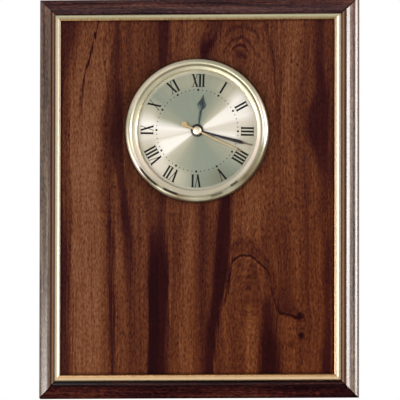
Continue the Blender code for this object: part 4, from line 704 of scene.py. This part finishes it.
def turned_metal(name, colour, roughness, marks):
    """Polished sheet metal with faint marks and cloudy handling."""
    finish = Finish(name, Metallic=1.0)
    clouds, specks = finish.handling(9.0, 0.5)
    finish.set(
        Base_Color=finish.scale(srgb(*colour)[:3], clouds.between(0.3, 0.7, 0.9, 1.08)),
        Roughness=clouds.between(0.25, 0.75, roughness * 0.7, roughness * 1.4),
        Normal=finish.bump(specks, marks),
    )


# Short arcs of painted dark reflection low on the roll, as (first, last clock angle, strength, radius)
DARK_REFLECTION_ARCS = [
    (141.0, 149.0, 0.8, 41.9), (157.0, 168.0, 0.6, 43.2), (195.5, 210.5, 1.0, 42.6),
    (214.0, 238.0, 1.0, 43.2),
]

# Painted reflections and shade on the brass: its tones, and where they lie round the bezel by clock angle
BRASS_SHADES = {
    "shadow": (112, 104, 80),
    "brown": (114, 98, 73),
    "dusk": (135, 127, 101),
    "brass": (158, 152, 128),
    "straw": (184, 174, 152),
    "champagne": (206, 190, 173),
    "silver": (228, 220, 210),
}
ROLL = [
    (0, "brass"), (52, "brass"), (75, "champagne"), (92, "silver"), (105, "dusk"),
    (135, "brown"), (150, "brass"), (165, "dusk"), (180, "brass"), (195, "brown"),
    (210, "brass"), (225, "brown"), (238, "champagne"), (258, "straw"), (280, "brass"),
    (300, "straw"), (340, "straw"), (360, "brass"),
]
GROOVE = [
    (0, "shadow"), (60, "shadow"), (90, "brass"), (150, "brass"), (180, "straw"),
    (270, "straw"), (300, "dusk"), (330, "shadow"), (360, "shadow"),
]
LIP = [
    (0, "brass"), (60, "brass"), (90, "champagne"), (125, "champagne"), (150, "straw"),
    (210, "straw"), (240, "champagne"), (270, "straw"), (300, "brass"), (360, "brass"),
]
BEZEL_GAIN = 1.25


def clock_share(finish):
    """The clock angle of a point round the insert, as a share of a full turn."""
    angle = finish.math("ARCTAN2", *finish.across_up())
    return finish.math("FRACT", angle * (0.5 / pi))


def ring_tones(finish, share, stops, shades, gain):
    stops = [(angle / 360.0, lit(*shades[shade], gain)) for angle, shade in stops]
    return finish.ramp(share, stops)


def ring_mask(value, middle, core, edge):
    """One within a distance of the middle, and nothing past another."""
    return abs(value - middle).between(core, edge, 1.0, 0.0)


def bezel_brass():
    """Satin champagne brass, with painted reflections and shade round it by clock angle, and a few short
    arcs of painted dark reflection low on the roll.
    """
    finish = Finish("bezel_brass", CLOCK_Z, Metallic=0.6, Specular_IOR_Level=0.3)
    clouds, specks = finish.handling(9.0, 0.6)
    reach = finish.reach()
    share = clock_share(finish)
    lip, groove, roll = [
        ring_tones(finish, share, stops, BRASS_SHADES, BEZEL_GAIN)
        for stops in (LIP, GROOVE, ROLL)
    ]
    colour = finish.blend(reach.between(40.4, 41.2), lip, groove)
    colour = finish.blend(reach.between(41.7, 42.6), colour, roll)
    # Painted shade: the straight side of the bezel is darkened, duller than its face
    colour = colour.times(reach.between(45.15, 45.35), 0.55, 0.48, 0.34)
    dark_reflection = 0.0
    for first, last, strength, radius in DARK_REFLECTION_ARCS:
        middle, half = (first + last) / 720.0, (last - first) / 720.0
        along = ring_mask(share, middle, half * 0.7, half * 1.1)
        dark_reflection = (along * ring_mask(reach, radius, 0.55, 1.05) * strength).most(dark_reflection)
    dark_reflection = dark_reflection * specks.between(0.35, 0.6, 1.0, 0.8)
    finish.set(
        Base_Color=finish.blend(dark_reflection, colour, srgb(3, 2, 2)),
        Roughness=clouds.between(0.25, 0.75, 0.28, 0.38),
        Normal=finish.bump(specks, 0.004),
    )


# Painted light and shade across the gold foil from a slip's inner edge outwards, as (share, red, green,
# blue): a painted shadow at the inner edge and a painted highlight along the bead
FOIL_SHADE = [
    (0.02, 0.12, 0.07, 0.04), (0.12, 0.3, 0.2, 0.13), (0.22, 0.56, 0.44, 0.34),
    (0.42, 0.74, 0.66, 0.58), (0.62, 1.0, 0.96, 0.92), (0.88, 1.0, 0.96, 0.9),
    (0.98, 0.6, 0.5, 0.42),
]
# Painted light on the left slip: evenly pale across the bead
LEFT_SHADE = [
    (0.08, 0.4, 0.32, 0.23), (0.42, 0.49, 0.41, 0.3), (0.62, 0.55, 0.46, 0.345),
    (0.88, 0.55, 0.46, 0.34), (0.98, 0.46, 0.375, 0.27),
]
# The right slip's stops are painted shade and light: it is darkened on its outer half, which faces the
# lamp, and painted brighter near its inner edge
RIGHT_SHADE = [
    (0.08, 0.36, 0.24, 0.14), (0.17, 0.5, 0.37, 0.25), (0.27, 0.29, 0.235, 0.18),
    (0.40, 0.18, 0.152, 0.11), (0.62, 0.18, 0.152, 0.11), (0.78, 0.34, 0.28, 0.2),
    (0.95, 0.6, 0.5, 0.38),
]


def gilt_foil(name, shades, tint):
    """Gold foil on a bead, with creases and specks, and painted light and shade across it."""
    finish = Finish(name, Metallic=1.0)
    clouds, specks = finish.handling(2.2, 0.5)
    beside, above = past_panel(*finish.across_up())
    across = clouds.scaled(0.8, beside.most(above))
    stops = [(share, (*shade, 1.0)) for share, *shade in shades]
    finish.set(
        Base_Color=finish.ramp(across * 0.25, stops).times(1.0, *tint),
        Roughness=specks.between(0.3, 0.7, 0.3, 0.42),
        Normal=finish.bump(specks, 0.01),
    )


# Painted reflections of the brushed dial: its tones, and its two bright fans of painted highlight near
# the middle and near the edge
DIAL_SHADES = {
    "shade": (126, 128, 108),
    "sage": (142, 148, 131),
    "sand": (164, 163, 141),
    "pale": (195, 188, 166),
    "cream": (224, 214, 198),
    "glare": (248, 242, 232),
}
INNER_FAN = [
    (0, "sage"), (20, "sage"), (35, "sand"), (49, "pale"), (54, "glare"), (72, "glare"),
    (78, "cream"), (90, "cream"), (98, "glare"), (107, "pale"), (122, "sand"),
    (148, "sage"), (182, "sage"), (208, "sand"), (229, "pale"), (235, "glare"),
    (252, "glare"), (258, "cream"), (276, "glare"), (291, "sand"), (314, "sage"), (360, "sage"),
]
OUTER_FAN = [
    (0, "sage"), (22, "sand"), (42, "pale"), (52, "glare"), (72, "glare"), (80, "cream"),
    (100, "pale"), (113, "pale"), (135, "sage"), (155, "shade"), (182, "sage"),
    (205, "pale"), (235, "cream"), (252, "pale"), (262, "cream"), (279, "glare"),
    (292, "pale"), (310, "sage"), (335, "sand"), (360, "sand"),
]
DIAL_GAIN = 1.5


def sunray_dial():
    """Champagne dial, brushed in rays from its middle, with two bright fans of painted highlight."""
    finish = Finish(
        "dial_metal", CLOCK_Z, Metallic=0.6, Roughness=0.4, Specular_IOR_Level=0.2
    )
    share = clock_share(finish)
    reach = finish.reach()
    inner, outer = [
        ring_tones(finish, share, fan, DIAL_SHADES, DIAL_GAIN) for fan in (INNER_FAN, OUTER_FAN)
    ]
    colour = finish.blend(reach.between(23.0, 31.0), inner, outer)
    pale = finish.blend(0.5, colour, lit(222, 212, 190, DIAL_GAIN))
    colour = finish.blend(reach.between(35.6, 37.4), colour, pale)
    turn = share * (2.0 * pi)
    circle = {"X": finish.math("COSINE", turn), "Y": finish.math("SINE", turn)}
    ray = finish.mapped(finish.add("CombineXYZ", circle), (26.0, 26.0, 1.0))
    rays = finish.noise(ray, detail=4.0, roughness=0.7)
    finish.set(
        Base_Color=finish.scale(colour, rays.between(0.2, 0.8, 0.93, 1.06)),
        Normal=finish.bump(rays, 0.003),
    )


def plain_finish(name, colour, spread, roughness, depth, speck, specular=0.5):
    """A moulded or painted finish: slight changes of tone and gloss, and a fine texture."""
    finish = Finish(name, Specular_IOR_Level=specular)
    clouds, specks = finish.handling(12.0, speck)
    shade = clouds.between(0.25, 0.75, 1.0 - spread, 1.0 + spread)
    finish.set(
        Base_Color=finish.scale(srgb(*colour)[:3], shade),
        Roughness=specks.between(0.3, 0.7, roughness * 0.8, min(1.0, roughness * 1.2)),
        Normal=finish.bump(specks, depth),
    )


def leaf_black():
    """Black enamel that thins to brown along the last of the minute hand."""
    finish = Finish("leaf_black", CLOCK_Z, Roughness=0.3, Specular_IOR_Level=0.4)
    clouds, specks = finish.handling(5.0, 0.4)
    black = finish.ramp(clouds, [(0.3, srgb(16, 9, 11)), (0.7, srgb(30, 20, 22))])
    thinned = finish.reach().between(29.0, 33.0, 0.0, 0.9)
    finish.set(
        Base_Color=finish.blend(thinned, black, srgb(104, 78, 60)),
        Roughness=specks.between(0.3, 0.7, 0.24, 0.36),
    )


def second_gold():
    """Dull gold of the second hand, with a paler polished cap."""
    finish = Finish("hand_gold", CLOCK_Z, Metallic=1.0)
    clouds, _ = finish.handling(5.0, 0.4)
    past_cap = finish.reach().between(2.0, 3.2)
    finish.set(
        Base_Color=finish.blend(past_cap, srgb(236, 222, 194), srgb(196, 170, 126)),
        Roughness=clouds.between(0.3, 0.7, 0.3, 0.4),
    )


def flat_crystal():
    """Clear mineral glass: see-through, with a gloss that grows at a glancing angle."""
    finish = Finish("crystal_glass", Metallic=1.0)
    clouds, _ = finish.handling(18.0, 0.4)
    # Both faces' gloss is laid on whichever face is met first
    front = 1.0 - finish.add("NewGeometry", output="Backfacing")
    gloss = finish.add("Fresnel", {"IOR": 1.5}) * 1.7 * front
    finish.set(
        Base_Color=finish.blend(clouds, (0.92, 0.97, 0.95, 1.0), WHITE),
        Roughness=clouds.between(0.3, 0.8, 0.02, 0.05),
        Alpha=finish.math("ADD", gloss, 0.005, clamp=True),
    )


# Colour, roughness and depth of marks
METALS = {
    "brass": ((230, 220, 184), 0.3, 0.004),
    "plated_steel": ((150, 150, 147), 0.46, 0.01),
    "soft_iron": ((138, 136, 132), 0.42, 0.02),
    "copper_wire": ((196, 110, 66), 0.3, 0.01),
}
# Colour, change of tone, roughness, depth and size of the texture, and gloss if it isn't 0.5
PLAIN = {
    "hand_black": ((20, 14, 16), 0.15, 0.35, 0.004, 0.4),
    "hand_slate": ((24, 36, 38), 0.15, 0.3, 0.004, 0.4),
    "print_black": ((10, 9, 8), 0.2, 0.6, 0.004, 0.4, 0.1),
    "core": ((168, 138, 100), 0.12, 0.8, 0.08, 0.7),
    "liner": ((92, 76, 62), 0.18, 0.9, 0.08, 0.5),
    "black_plastic": ((34, 34, 36), 0.1, 0.45, 0.03, 0.5),
    "grey_plastic": ((96, 98, 100), 0.08, 0.42, 0.03, 0.5),
    "white_plastic": ((222, 220, 212), 0.05, 0.4, 0.02, 0.5),
    "knob_black": ((60, 60, 63), 0.1, 0.4, 0.03, 0.5),
    "rubber_band": ((30, 30, 31), 0.12, 0.75, 0.04, 0.6),
    "circuit_green": ((28, 84, 52), 0.12, 0.35, 0.01, 0.6),
    "felt": ((46, 40, 36), 0.2, 0.95, 0.1, 0.35),
}

walnut_face()
walnut_edge_up()
walnut_edge_across()
# Each side's slip gets its own painted light and shade; the top and bottom ones are tinted duller, olive
# and tan, where less light falls
gilt_foil("gilt_foil_left", LEFT_SHADE, (1.0, 1.0, 1.0))
gilt_foil("gilt_foil_right", RIGHT_SHADE, (1.0, 1.0, 1.0))
gilt_foil("gilt_foil_top", FOIL_SHADE, (0.82, 0.79, 0.54))
gilt_foil("gilt_foil_bottom", FOIL_SHADE, (0.56, 0.42, 0.26))
bezel_brass()
sunray_dial()
leaf_black()
second_gold()
flat_crystal()
for name, looks in METALS.items():
    turned_metal(name, *looks)
for name, looks in PLAIN.items():
    plain_finish(name, *looks)

# Slots of the CAD nodes, and the finishes of those slots that aren't named as the slot is
SLOTS = {entry["node"]: entry["material_slot"] for entry in frame["record"]["subparts"]}
SLOT_FINISH = {"walnut_edge": "walnut_edge_up", "gilt": "gilt_foil_left"}

# Shapes


def back(depth):
    """Y in millimetres of a depth below the panel's face."""
    return depth - THICKNESS


def arc(centre, radii, start, end, steps):
    """Points on an ellipse between two angles in degrees, both ends included."""
    turn = [radians(start + (end - start) * step / steps) for step in range(steps + 1)]
    return [(centre[0] + radii[0] * cos(a), centre[1] + radii[1] * sin(a)) for a in turn]


def merge(shape):
    bmesh.ops.remove_doubles(shape, verts=shape.verts, dist=MERGE_DISTANCE)


def raise_by(shape, height):
    bmesh.ops.translate(shape, verts=shape.verts, vec=(0.0, 0.0, height))


def mesh_of(name, shape, finish):
    """A bmesh as a mesh with a finish; the bmesh is freed."""
    mesh = bpy.data.meshes.new(name)
    shape.to_mesh(mesh)
    shape.free()
    mesh.materials.append(FINISHES[finish])
    return mesh


def add_object(name, data):
    made = bpy.data.objects.new(name, data)
    bpy.context.scene.collection.objects.link(made)
    return made


def add_piece(name, shape, finish, body="root", stands_for=None, sharp=40.0):
    """Closes a bmesh, given in millimetres, into a piece that rides on a body."""
    merge(shape)
    bmesh.ops.recalc_face_normals(shape, faces=shape.faces)
    bmesh.ops.scale(shape, verts=shape.verts, vec=(MM, MM, MM))
    mesh = mesh_of(name, shape, finish)
    mesh.shade_smooth()
    mesh.set_sharp_from_angle(angle=radians(sharp))
    piece = add_object(name, mesh)
    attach(piece, body)
    if stands_for:
        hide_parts(stands_for)


def turned(profile, steps, middle=0.0):
    """A closed profile of (radius, depth) points, spun about an axis along Y at a height."""
    shape = bmesh.new()
    points = [shape.verts.new((radius, back(depth), 0.0)) for radius, depth in profile]
    edges = [shape.edges.new(pair) for pair in zip(points, points[1:] + points[:1])]
    bmesh.ops.spin(
        shape,
        geom=points + edges,
        cent=(0.0, 0.0, 0.0),
        axis=(0.0, 1.0, 0.0),
        angle=2.0 * pi,
        steps=steps,
        use_merge=True,
    )
    merge(shape)
    raise_by(shape, middle)
    return shape


def plate(outline, front, rear):
    """An outline of (x, z) points, carried from one Y to another."""
    shape = bmesh.new()
    face = shape.faces.new([shape.verts.new((x, front, z)) for x, z in outline])
    grown = bmesh.ops.extrude_face_region(shape, geom=[face])
    moved = [item for item in grown["geom"] if isinstance(item, bmesh.types.BMVert)]
    bmesh.ops.translate(shape, verts=moved, vec=(0.0, rear - front, 0.0))
    return shape


def join(shapes):
    """One bmesh of several."""
    whole = bmesh.new()
    for shape in shapes:
        mesh = bpy.data.meshes.new("joining")
        shape.to_mesh(mesh)
        shape.free()
        whole.from_mesh(mesh)
        bpy.data.meshes.remove(mesh)
    return whole


def soften(shape, width):
    """Rounds the edges of a shape that turn by more than 30 degrees."""
    merge(shape)
    bmesh.ops.recalc_face_normals(shape, faces=shape.faces)
    sharp = [
        edge for edge in shape.edges
        if len(edge.link_faces) == 2 and edge.calc_face_angle() > radians(30.0)
    ]
    bmesh.ops.bevel(
        shape,
        geom=sharp,
        offset=width,
        segments=2,
        profile=0.5,
        affect="EDGES",
        material=-1,
        clamp_overlap=True,
    )
    return shape


# Plaque


def mitred_strip(profile, quarter):
    """A profile of (out, depth) points run along one side, mitred at both ends."""
    across, along = (PANEL_Z, PANEL_X) if quarter % 2 == 0 else (PANEL_X, PANEL_Z)
    shape = bmesh.new()
    for hand in (-1, 1):
        end = [
            shape.verts.new((hand * (along + out - MITRE_TRIM), back(depth), across + out))
            for out, depth in profile
        ]
        shape.faces.new(end)
    bmesh.ops.bridge_loops(shape, edges=shape.edges)
    turn = Matrix.Rotation(quarter * pi / 2, 4, "Y")
    bmesh.ops.transform(shape, matrix=turn, verts=shape.verts)
    return shape


# The slip is a bead that laps a little over the veneer's edge
SLIP_PROFILE = (
    arc((0.15, 3.9), (3.15, 4.15), -104.0, 0.0, 20)
    + [(3.3, 5.3), (0.3, 5.3), (0.3, 0.5), (-0.61, 0.5)]
)
# From its back edge inwards: the step under the slip, the flat, the hollow, the round and the wall
MOULDING_PROFILE = (
    [(0.3, 19.05), (0.3, 5.6), (3.8, 5.6), (3.8, 4.35), (3.95, 4.2), (5.45, 4.2), (5.6, 4.35)]
    + arc((11.7, 4.35), (6.1, 3.55), 180.0, 90.0, 18)[1:]
    + [(12.0, 7.99), (12.35, 8.17), (12.75, 8.43), (13.12, 8.7), (13.38, 8.97), (13.5, 9.3)]
    + [(13.5, 18.75), (13.2, 19.05)]
)

for quarter, side in enumerate(("top", "right", "bottom", "left")):
    grain = "walnut_edge_across" if quarter % 2 == 0 else "walnut_edge_up"
    for node, profile, finish, slot in (
        ("moulding_" + side, MOULDING_PROFILE, grain, "walnut_edge"),
        ("gilt_slip_" + side, SLIP_PROFILE, "gilt_foil_" + side, "gilt"),
    ):
        shape = mitred_strip(profile, quarter)
        add_piece(node + "_fine", shape, finish, stands_for=node, sharp=32.0)

# Clock insert

BEZEL_PROFILE = (
    [(45.4, -0.3)]
    + arc((43.5, -5.6), (1.9, 1.9), 0.0, -90.0, 12)
    + arc((43.5, -6.9), (1.6, 0.6), -90.0, -165.0, 8)[1:]
    + [(41.6, -6.72), (41.3, -6.72), (40.4, -6.62), (39.2, -6.4), (38.75, -6.25)]
    + [(38.6, -6.16), (38.6, -6.05), (43.1, -6.05), (43.1, -0.3)]
)
CRYSTAL_PROFILE = [
    (0.0, -5.8), (42.2, -5.8), (42.5, -5.5), (42.5, -4.9), (42.2, -4.6), (0.0, -4.6),
]
REFLECTOR_PROFILE = [(39.2, -4.3), (38.3, -2.3), (42.5, -2.3), (42.5, -4.3)]

for name, node, profile, steps, finish, slot in (
    ("bezel_rolled", "bezel", BEZEL_PROFILE, 160, "bezel_brass", "brass"),
    ("crystal_clear", "crystal", CRYSTAL_PROFILE, 128, "crystal_glass", "crystal_glass"),
    ("reflector_polished", "reflector_ring", REFLECTOR_PROFILE, 160, "brass", "brass"),
):
    shape = turned(profile, steps, CLOCK_Z)
    add_piece(name, shape, finish, stands_for=node, sharp=30.0)

# Printing on the dial

NUMERAL_INNER = 27.9
CAP_HEIGHT = 8.2
THICK_STROKE = 1.25
THIN_STROKE = 0.42
SERIF_HEIGHT = 0.28
I_SERIF = 1.0375
V_SERIFS = (1.075, 0.75)
X_SERIFS = (1.025, 0.7)
V_SPREAD = 1.45
X_SPREAD = 1.35
V_FOOT = 0.12
HOURS = ["XII", "I", "II", "III", "IIII", "V", "VI", "VII", "VIII", "IX", "X", "XI"]
LETTER_WIDTHS = {"I": 2.15, "V": 4.3, "X": 4.3}
DOT_RING = 26.0
HOUR_DOT = 0.72
MINUTE_DOT = 0.36
INK = 0.03
SUNK = 0.01


def stroke(foot, cap, width, low=0.0, high=CAP_HEIGHT):
    """A stroke between two heights, as (across, up) points."""
    half = width / 2
    return [(foot - half, low), (foot + half, low), (cap + half, high), (cap - half, high)]


def serif(across, up, reach):
    """A serif on the foot line, or hanging from the cap line."""
    low = max(0.0, up - SERIF_HEIGHT)
    return stroke(across, across, 2.0 * reach, low, low + SERIF_HEIGHT)


def letter_strokes(letter, middle):
    """A letter's strokes and serifs, with its middle at a place across."""
    if letter == "I":
        return [
            stroke(middle, middle, THICK_STROKE),
            serif(middle, 0.0, I_SERIF),
            serif(middle, CAP_HEIGHT, I_SERIF),
        ]
    if letter == "V":
        left, right = middle - V_SPREAD, middle + V_SPREAD
        return [
            stroke(middle + V_FOOT, left, THICK_STROKE),
            stroke(middle, right, THIN_STROKE),
            serif(left, CAP_HEIGHT, V_SERIFS[0]),
            serif(right, CAP_HEIGHT, V_SERIFS[1]),
        ]
    left, right = middle - X_SPREAD, middle + X_SPREAD
    return [
        stroke(right, left, THICK_STROKE),
        stroke(left, right, THIN_STROKE),
        serif(left, CAP_HEIGHT, X_SERIFS[0]),
        serif(right, CAP_HEIGHT, X_SERIFS[1]),
        serif(right, 0.0, X_SERIFS[0]),
        serif(left, 0.0, X_SERIFS[1]),
    ]


def clock_turn(share):
    """The turn about Y that takes twelve o'clock to this share of a full round."""
    return 2.0 * pi * share + INSERT_TURN


def on_dial(shape, share):
    turn = Matrix.Rotation(clock_turn(share), 4, "Y")
    bmesh.ops.transform(shape, matrix=turn, verts=shape.verts)
    raise_by(shape, CLOCK_Z)
    return shape


def printed(outline, share):
    """Ink on the dial, at a share of a full round."""
    return on_dial(plate(outline, DIAL_FRONT - INK, DIAL_FRONT + SUNK), share)


strokes = []
for hour, numeral in enumerate(HOURS):
    widths = [LETTER_WIDTHS[letter] for letter in numeral]
    cursor = -sum(widths) / 2
    for letter, width in zip(numeral, widths):
        for points in letter_strokes(letter, cursor + width / 2):
            outline = [(across, up + NUMERAL_INNER) for across, up in points]
            strokes.append(printed(outline, hour / 12))
        cursor += width
add_piece("dial_numerals", join(strokes), "print_black")

dots = []
for minute in range(60):
    radius = HOUR_DOT if minute % 5 == 0 else MINUTE_DOT
    outline = arc((0.0, DOT_RING), (radius, radius), 90.0, 450.0, 10)[:-1]
    dots.append(printed(outline, minute / 60))
add_piece("dial_minute_dots", join(dots), "print_black")

# Hands


def pointer(stations, front, rear):
    """A pointer straight up, from (distance, half width) stations."""
    right = [(half, distance) for distance, half in stations]
    left = [(-half, distance) for distance, half in reversed(stations)]
    return plate(right + left, front, rear)


def ring(inner, outer, front, rear, steps=48):
    profile = [(inner, front), (outer, front), (outer, rear), (inner, rear)]
    return turned([(radius, y + THICKNESS) for radius, y in profile], steps)


SPADE = [
    (2.7, 0.78), (12.6, 0.7), (13.4, 0.85), (14.1, 1.45), (14.8, 2.05), (15.6, 2.45),
    (16.5, 2.6), (17.4, 2.5), (18.2, 2.12), (19.0, 1.6), (19.9, 1.05), (20.9, 0.66),
    (22.0, 0.42), (23.1, 0.2),
]
LEAF = [
    (3.7, 0.78), (12.0, 0.78), (17.4, 0.84), (21.0, 0.92), (24.6, 1.06), (27.0, 1.14),
    (28.6, 1.1), (29.8, 0.9), (31.0, 0.62), (33.0, 0.42), (36.6, 0.22),
]
for name, body, finish, stations, hub, front, rear, share in (
    ("hour_hand_spade", "hour", "hand_slate", SPADE, (1.9, 3.1), -21.6, -21.35, SHOWN_HOUR / 12),
    ("minute_hand_leaf", "minute", "leaf_black", LEAF, (1.3, 4.1), -22.15, -21.9, SHOWN_MINUTE / 60),
):
    whole = join([pointer(stations, front, rear), ring(*hub, front, rear)])
    shape = on_dial(soften(whole, 0.05), share)
    add_piece(name, shape, finish, body, body + "_hand")

SECOND_FRONT = -22.7
SECOND_REAR = -22.45
TAIL = [(2.3, 0.5), (7.0, 0.5)]
TIP = [(2.3, 0.46), (26.0, 0.34), (31.0, 0.22)]
WEIGHT_PLACE = 8.9
WEIGHT_RADIUS = 1.9
CAP_PROFILE = [
    (0.0, -4.15), (1.6, -4.15), (2.2, -4.07), (2.6, -3.85), (2.7, -3.65), (2.7, -3.4), (0.0, -3.4),
]
tail_share = (SHOWN_SECOND + 30.0) / 60
weight = on_dial(ring(0.0, WEIGHT_RADIUS, SECOND_FRONT, SECOND_REAR, 32), 0.0)
offset = Matrix.Rotation(clock_turn(tail_share), 3, "Y") @ Vector((0.0, 0.0, WEIGHT_PLACE))
bmesh.ops.translate(weight, verts=weight.verts, vec=offset)
pieces = [
    on_dial(pointer(TAIL, SECOND_FRONT, SECOND_REAR), tail_share),
    weight,
    on_dial(pointer(TIP, SECOND_FRONT, SECOND_REAR), SHOWN_SECOND / 60),
    turned(CAP_PROFILE, 48, CLOCK_Z),
]
add_piece("second_hand_gold", join(pieces), "hand_gold", "second", "second_hand")

# Small pieces of the insert and the back, with their rims rounded, as (name, width of the
# rounding), or with a body and a finish of their own

SOFT_PIECES = [
    ("insert_cup", 0.25), ("movement_shell", 0.25), ("case_screw_left", 0.12),
    ("case_screw_right", 0.12), ("sawtooth_hanger", 0.1), ("hanger_nail_left", 0.1),
    ("hanger_nail_right", 0.1), ("wall_bumper_left", 0.4), ("wall_bumper_right", 0.4),
    ("back_liner", 0.08), ("retaining_band", 0.1),
    ("battery_door", 0.15, "door", "knob_black"), ("setting_knob", 0.2, "setting", "knob_black"),
]


def add_softened(name, width, body="root", finish=None):
    """A CAD node again, with rounded rims and smooth round sides."""
    shape = bmesh.new()
    shape.from_mesh(frame["nodes"][name].data)
    bmesh.ops.scale(shape, vec=(1.0 / MM, 1.0 / MM, 1.0 / MM), verts=shape.verts)
    slot = SLOTS[name]
    finish = finish or SLOT_FINISH.get(slot, slot)
    add_piece(name + "_soft", soften(shape, width), finish, body, name, sharp=18.0)


for piece in SOFT_PIECES:
    add_softened(*piece)

# Finishes of the CAD nodes that show as they are

for name, slot in SLOTS.items():
    for place in frame["nodes"][name].material_slots:
        place.material = FINISHES[SLOT_FINISH.get(slot, slot)]

# Floor, lights and camera, in metres and watts

FLOOR_Z = -0.9
CAMERA_DISTANCE = 9.0
CAMERA_AZIMUTH = 5.2
CAMERA_ELEVATION = -4.75
CAMERA_TARGET = (-0.00005, 0.0, -0.00043)
CAMERA_ROLL = radians(0.1)


def add_floor():
    finish = Finish("floor_pale", Roughness=0.9)
    cloud = finish.noise(finish.place, scale=3.0 * MM, detail=3.0)
    finish.set(Base_Color=finish.blend(cloud, (0.72, 0.71, 0.69, 1.0), (0.8, 0.79, 0.77, 1.0)))
    shape = bmesh.new()
    bmesh.ops.create_grid(shape, x_segments=1, y_segments=1, size=4.0)
    raise_by(shape, FLOOR_Z)
    add_object("floor", mesh_of("floor", shape, "floor_pale"))


def aimed(place, target=(0.0, 0.0, 0.0), roll=0.0):
    """A world matrix at a place, looking at the target along its -Z."""
    place = Vector(place)
    turn = (Vector(target) - place).to_track_quat("-Z", "Y").to_matrix().to_4x4()
    return Matrix.Translation(place) @ turn @ Matrix.Rotation(roll, 4, "Z")


def direction(azimuth, elevation):
    """Unit vector: azimuth 0 is towards the reader, positive to the reader's right."""
    flat = cos(radians(elevation))
    return Vector(
        (sin(radians(azimuth)) * flat, -cos(radians(azimuth)) * flat, sin(radians(elevation)))
    )


def add_softbox(name, azimuth, elevation, distance, size, power):
    light = bpy.data.lights.new(name, "AREA")
    light.shape = "RECTANGLE"
    light.size, light.size_y = size
    light.energy = power
    lamp = add_object(name, light)
    lamp.matrix_world = aimed(direction(azimuth, elevation) * distance)


def add_world():
    """Grey room light, darker below and behind the camera, with a white backdrop."""
    world = bpy.data.worlds.new("studio")
    world.use_nodes = True
    recipe = Recipe(world.node_tree)
    way = recipe.add("TexCoord", output="Generated")
    mirrored = tuple(direction(-CAMERA_AZIMUTH, -CAMERA_ELEVATION))
    sideways, upward, ahead = [
        recipe.vector("DOT_PRODUCT", way, axis, output="Value")
        for axis in ((1.0, 0.0, 0.0), (0.0, 0.0, 1.0), mirrored)
    ]
    room = upward.between(-0.6, 0.5, 0.34, 0.6)
    room = room.toward(abs(sideways).between(0.35, 0.85), 1.0)
    room = room.toward(ahead.between(0.955, 0.985), 0.05)
    backdrop = recipe.add("LightPath", output="Is Camera Ray")
    sky = world.node_tree.nodes["Background"].inputs
    recipe.feed(sky["Color"], WHITE)
    recipe.feed(sky["Strength"], room.most(backdrop))
    bpy.context.scene.world = world


add_floor()
add_world()
add_softbox("right_softbox", 60.0, 5.0, 1.1, (0.85, 0.32), 17.0)
add_softbox("right_fill", 24.0, 4.0, 1.15, (0.5, 0.32), 1.3)
add_softbox("back_softbox", 208.0, 30.0, 1.5, (0.9, 0.7), 17.0)
add_softbox("left_softbox", -30.0, -11.0, 1.3, (0.84, 0.5), 17.0)

camera_data = bpy.data.cameras.new("photo_camera")
camera_data.lens = 1273.0
camera_data.sensor_width = 36.0
camera_data.clip_start = 0.05
camera_data.clip_end = 20.0
camera = add_object("photo_camera", camera_data)
eye = direction(CAMERA_AZIMUTH, CAMERA_ELEVATION) * CAMERA_DISTANCE
camera.matrix_world = aimed(eye, CAMERA_TARGET, CAMERA_ROLL)
bpy.context.scene.camera = camera
bpy.context.scene.view_settings.view_transform = "Standard"
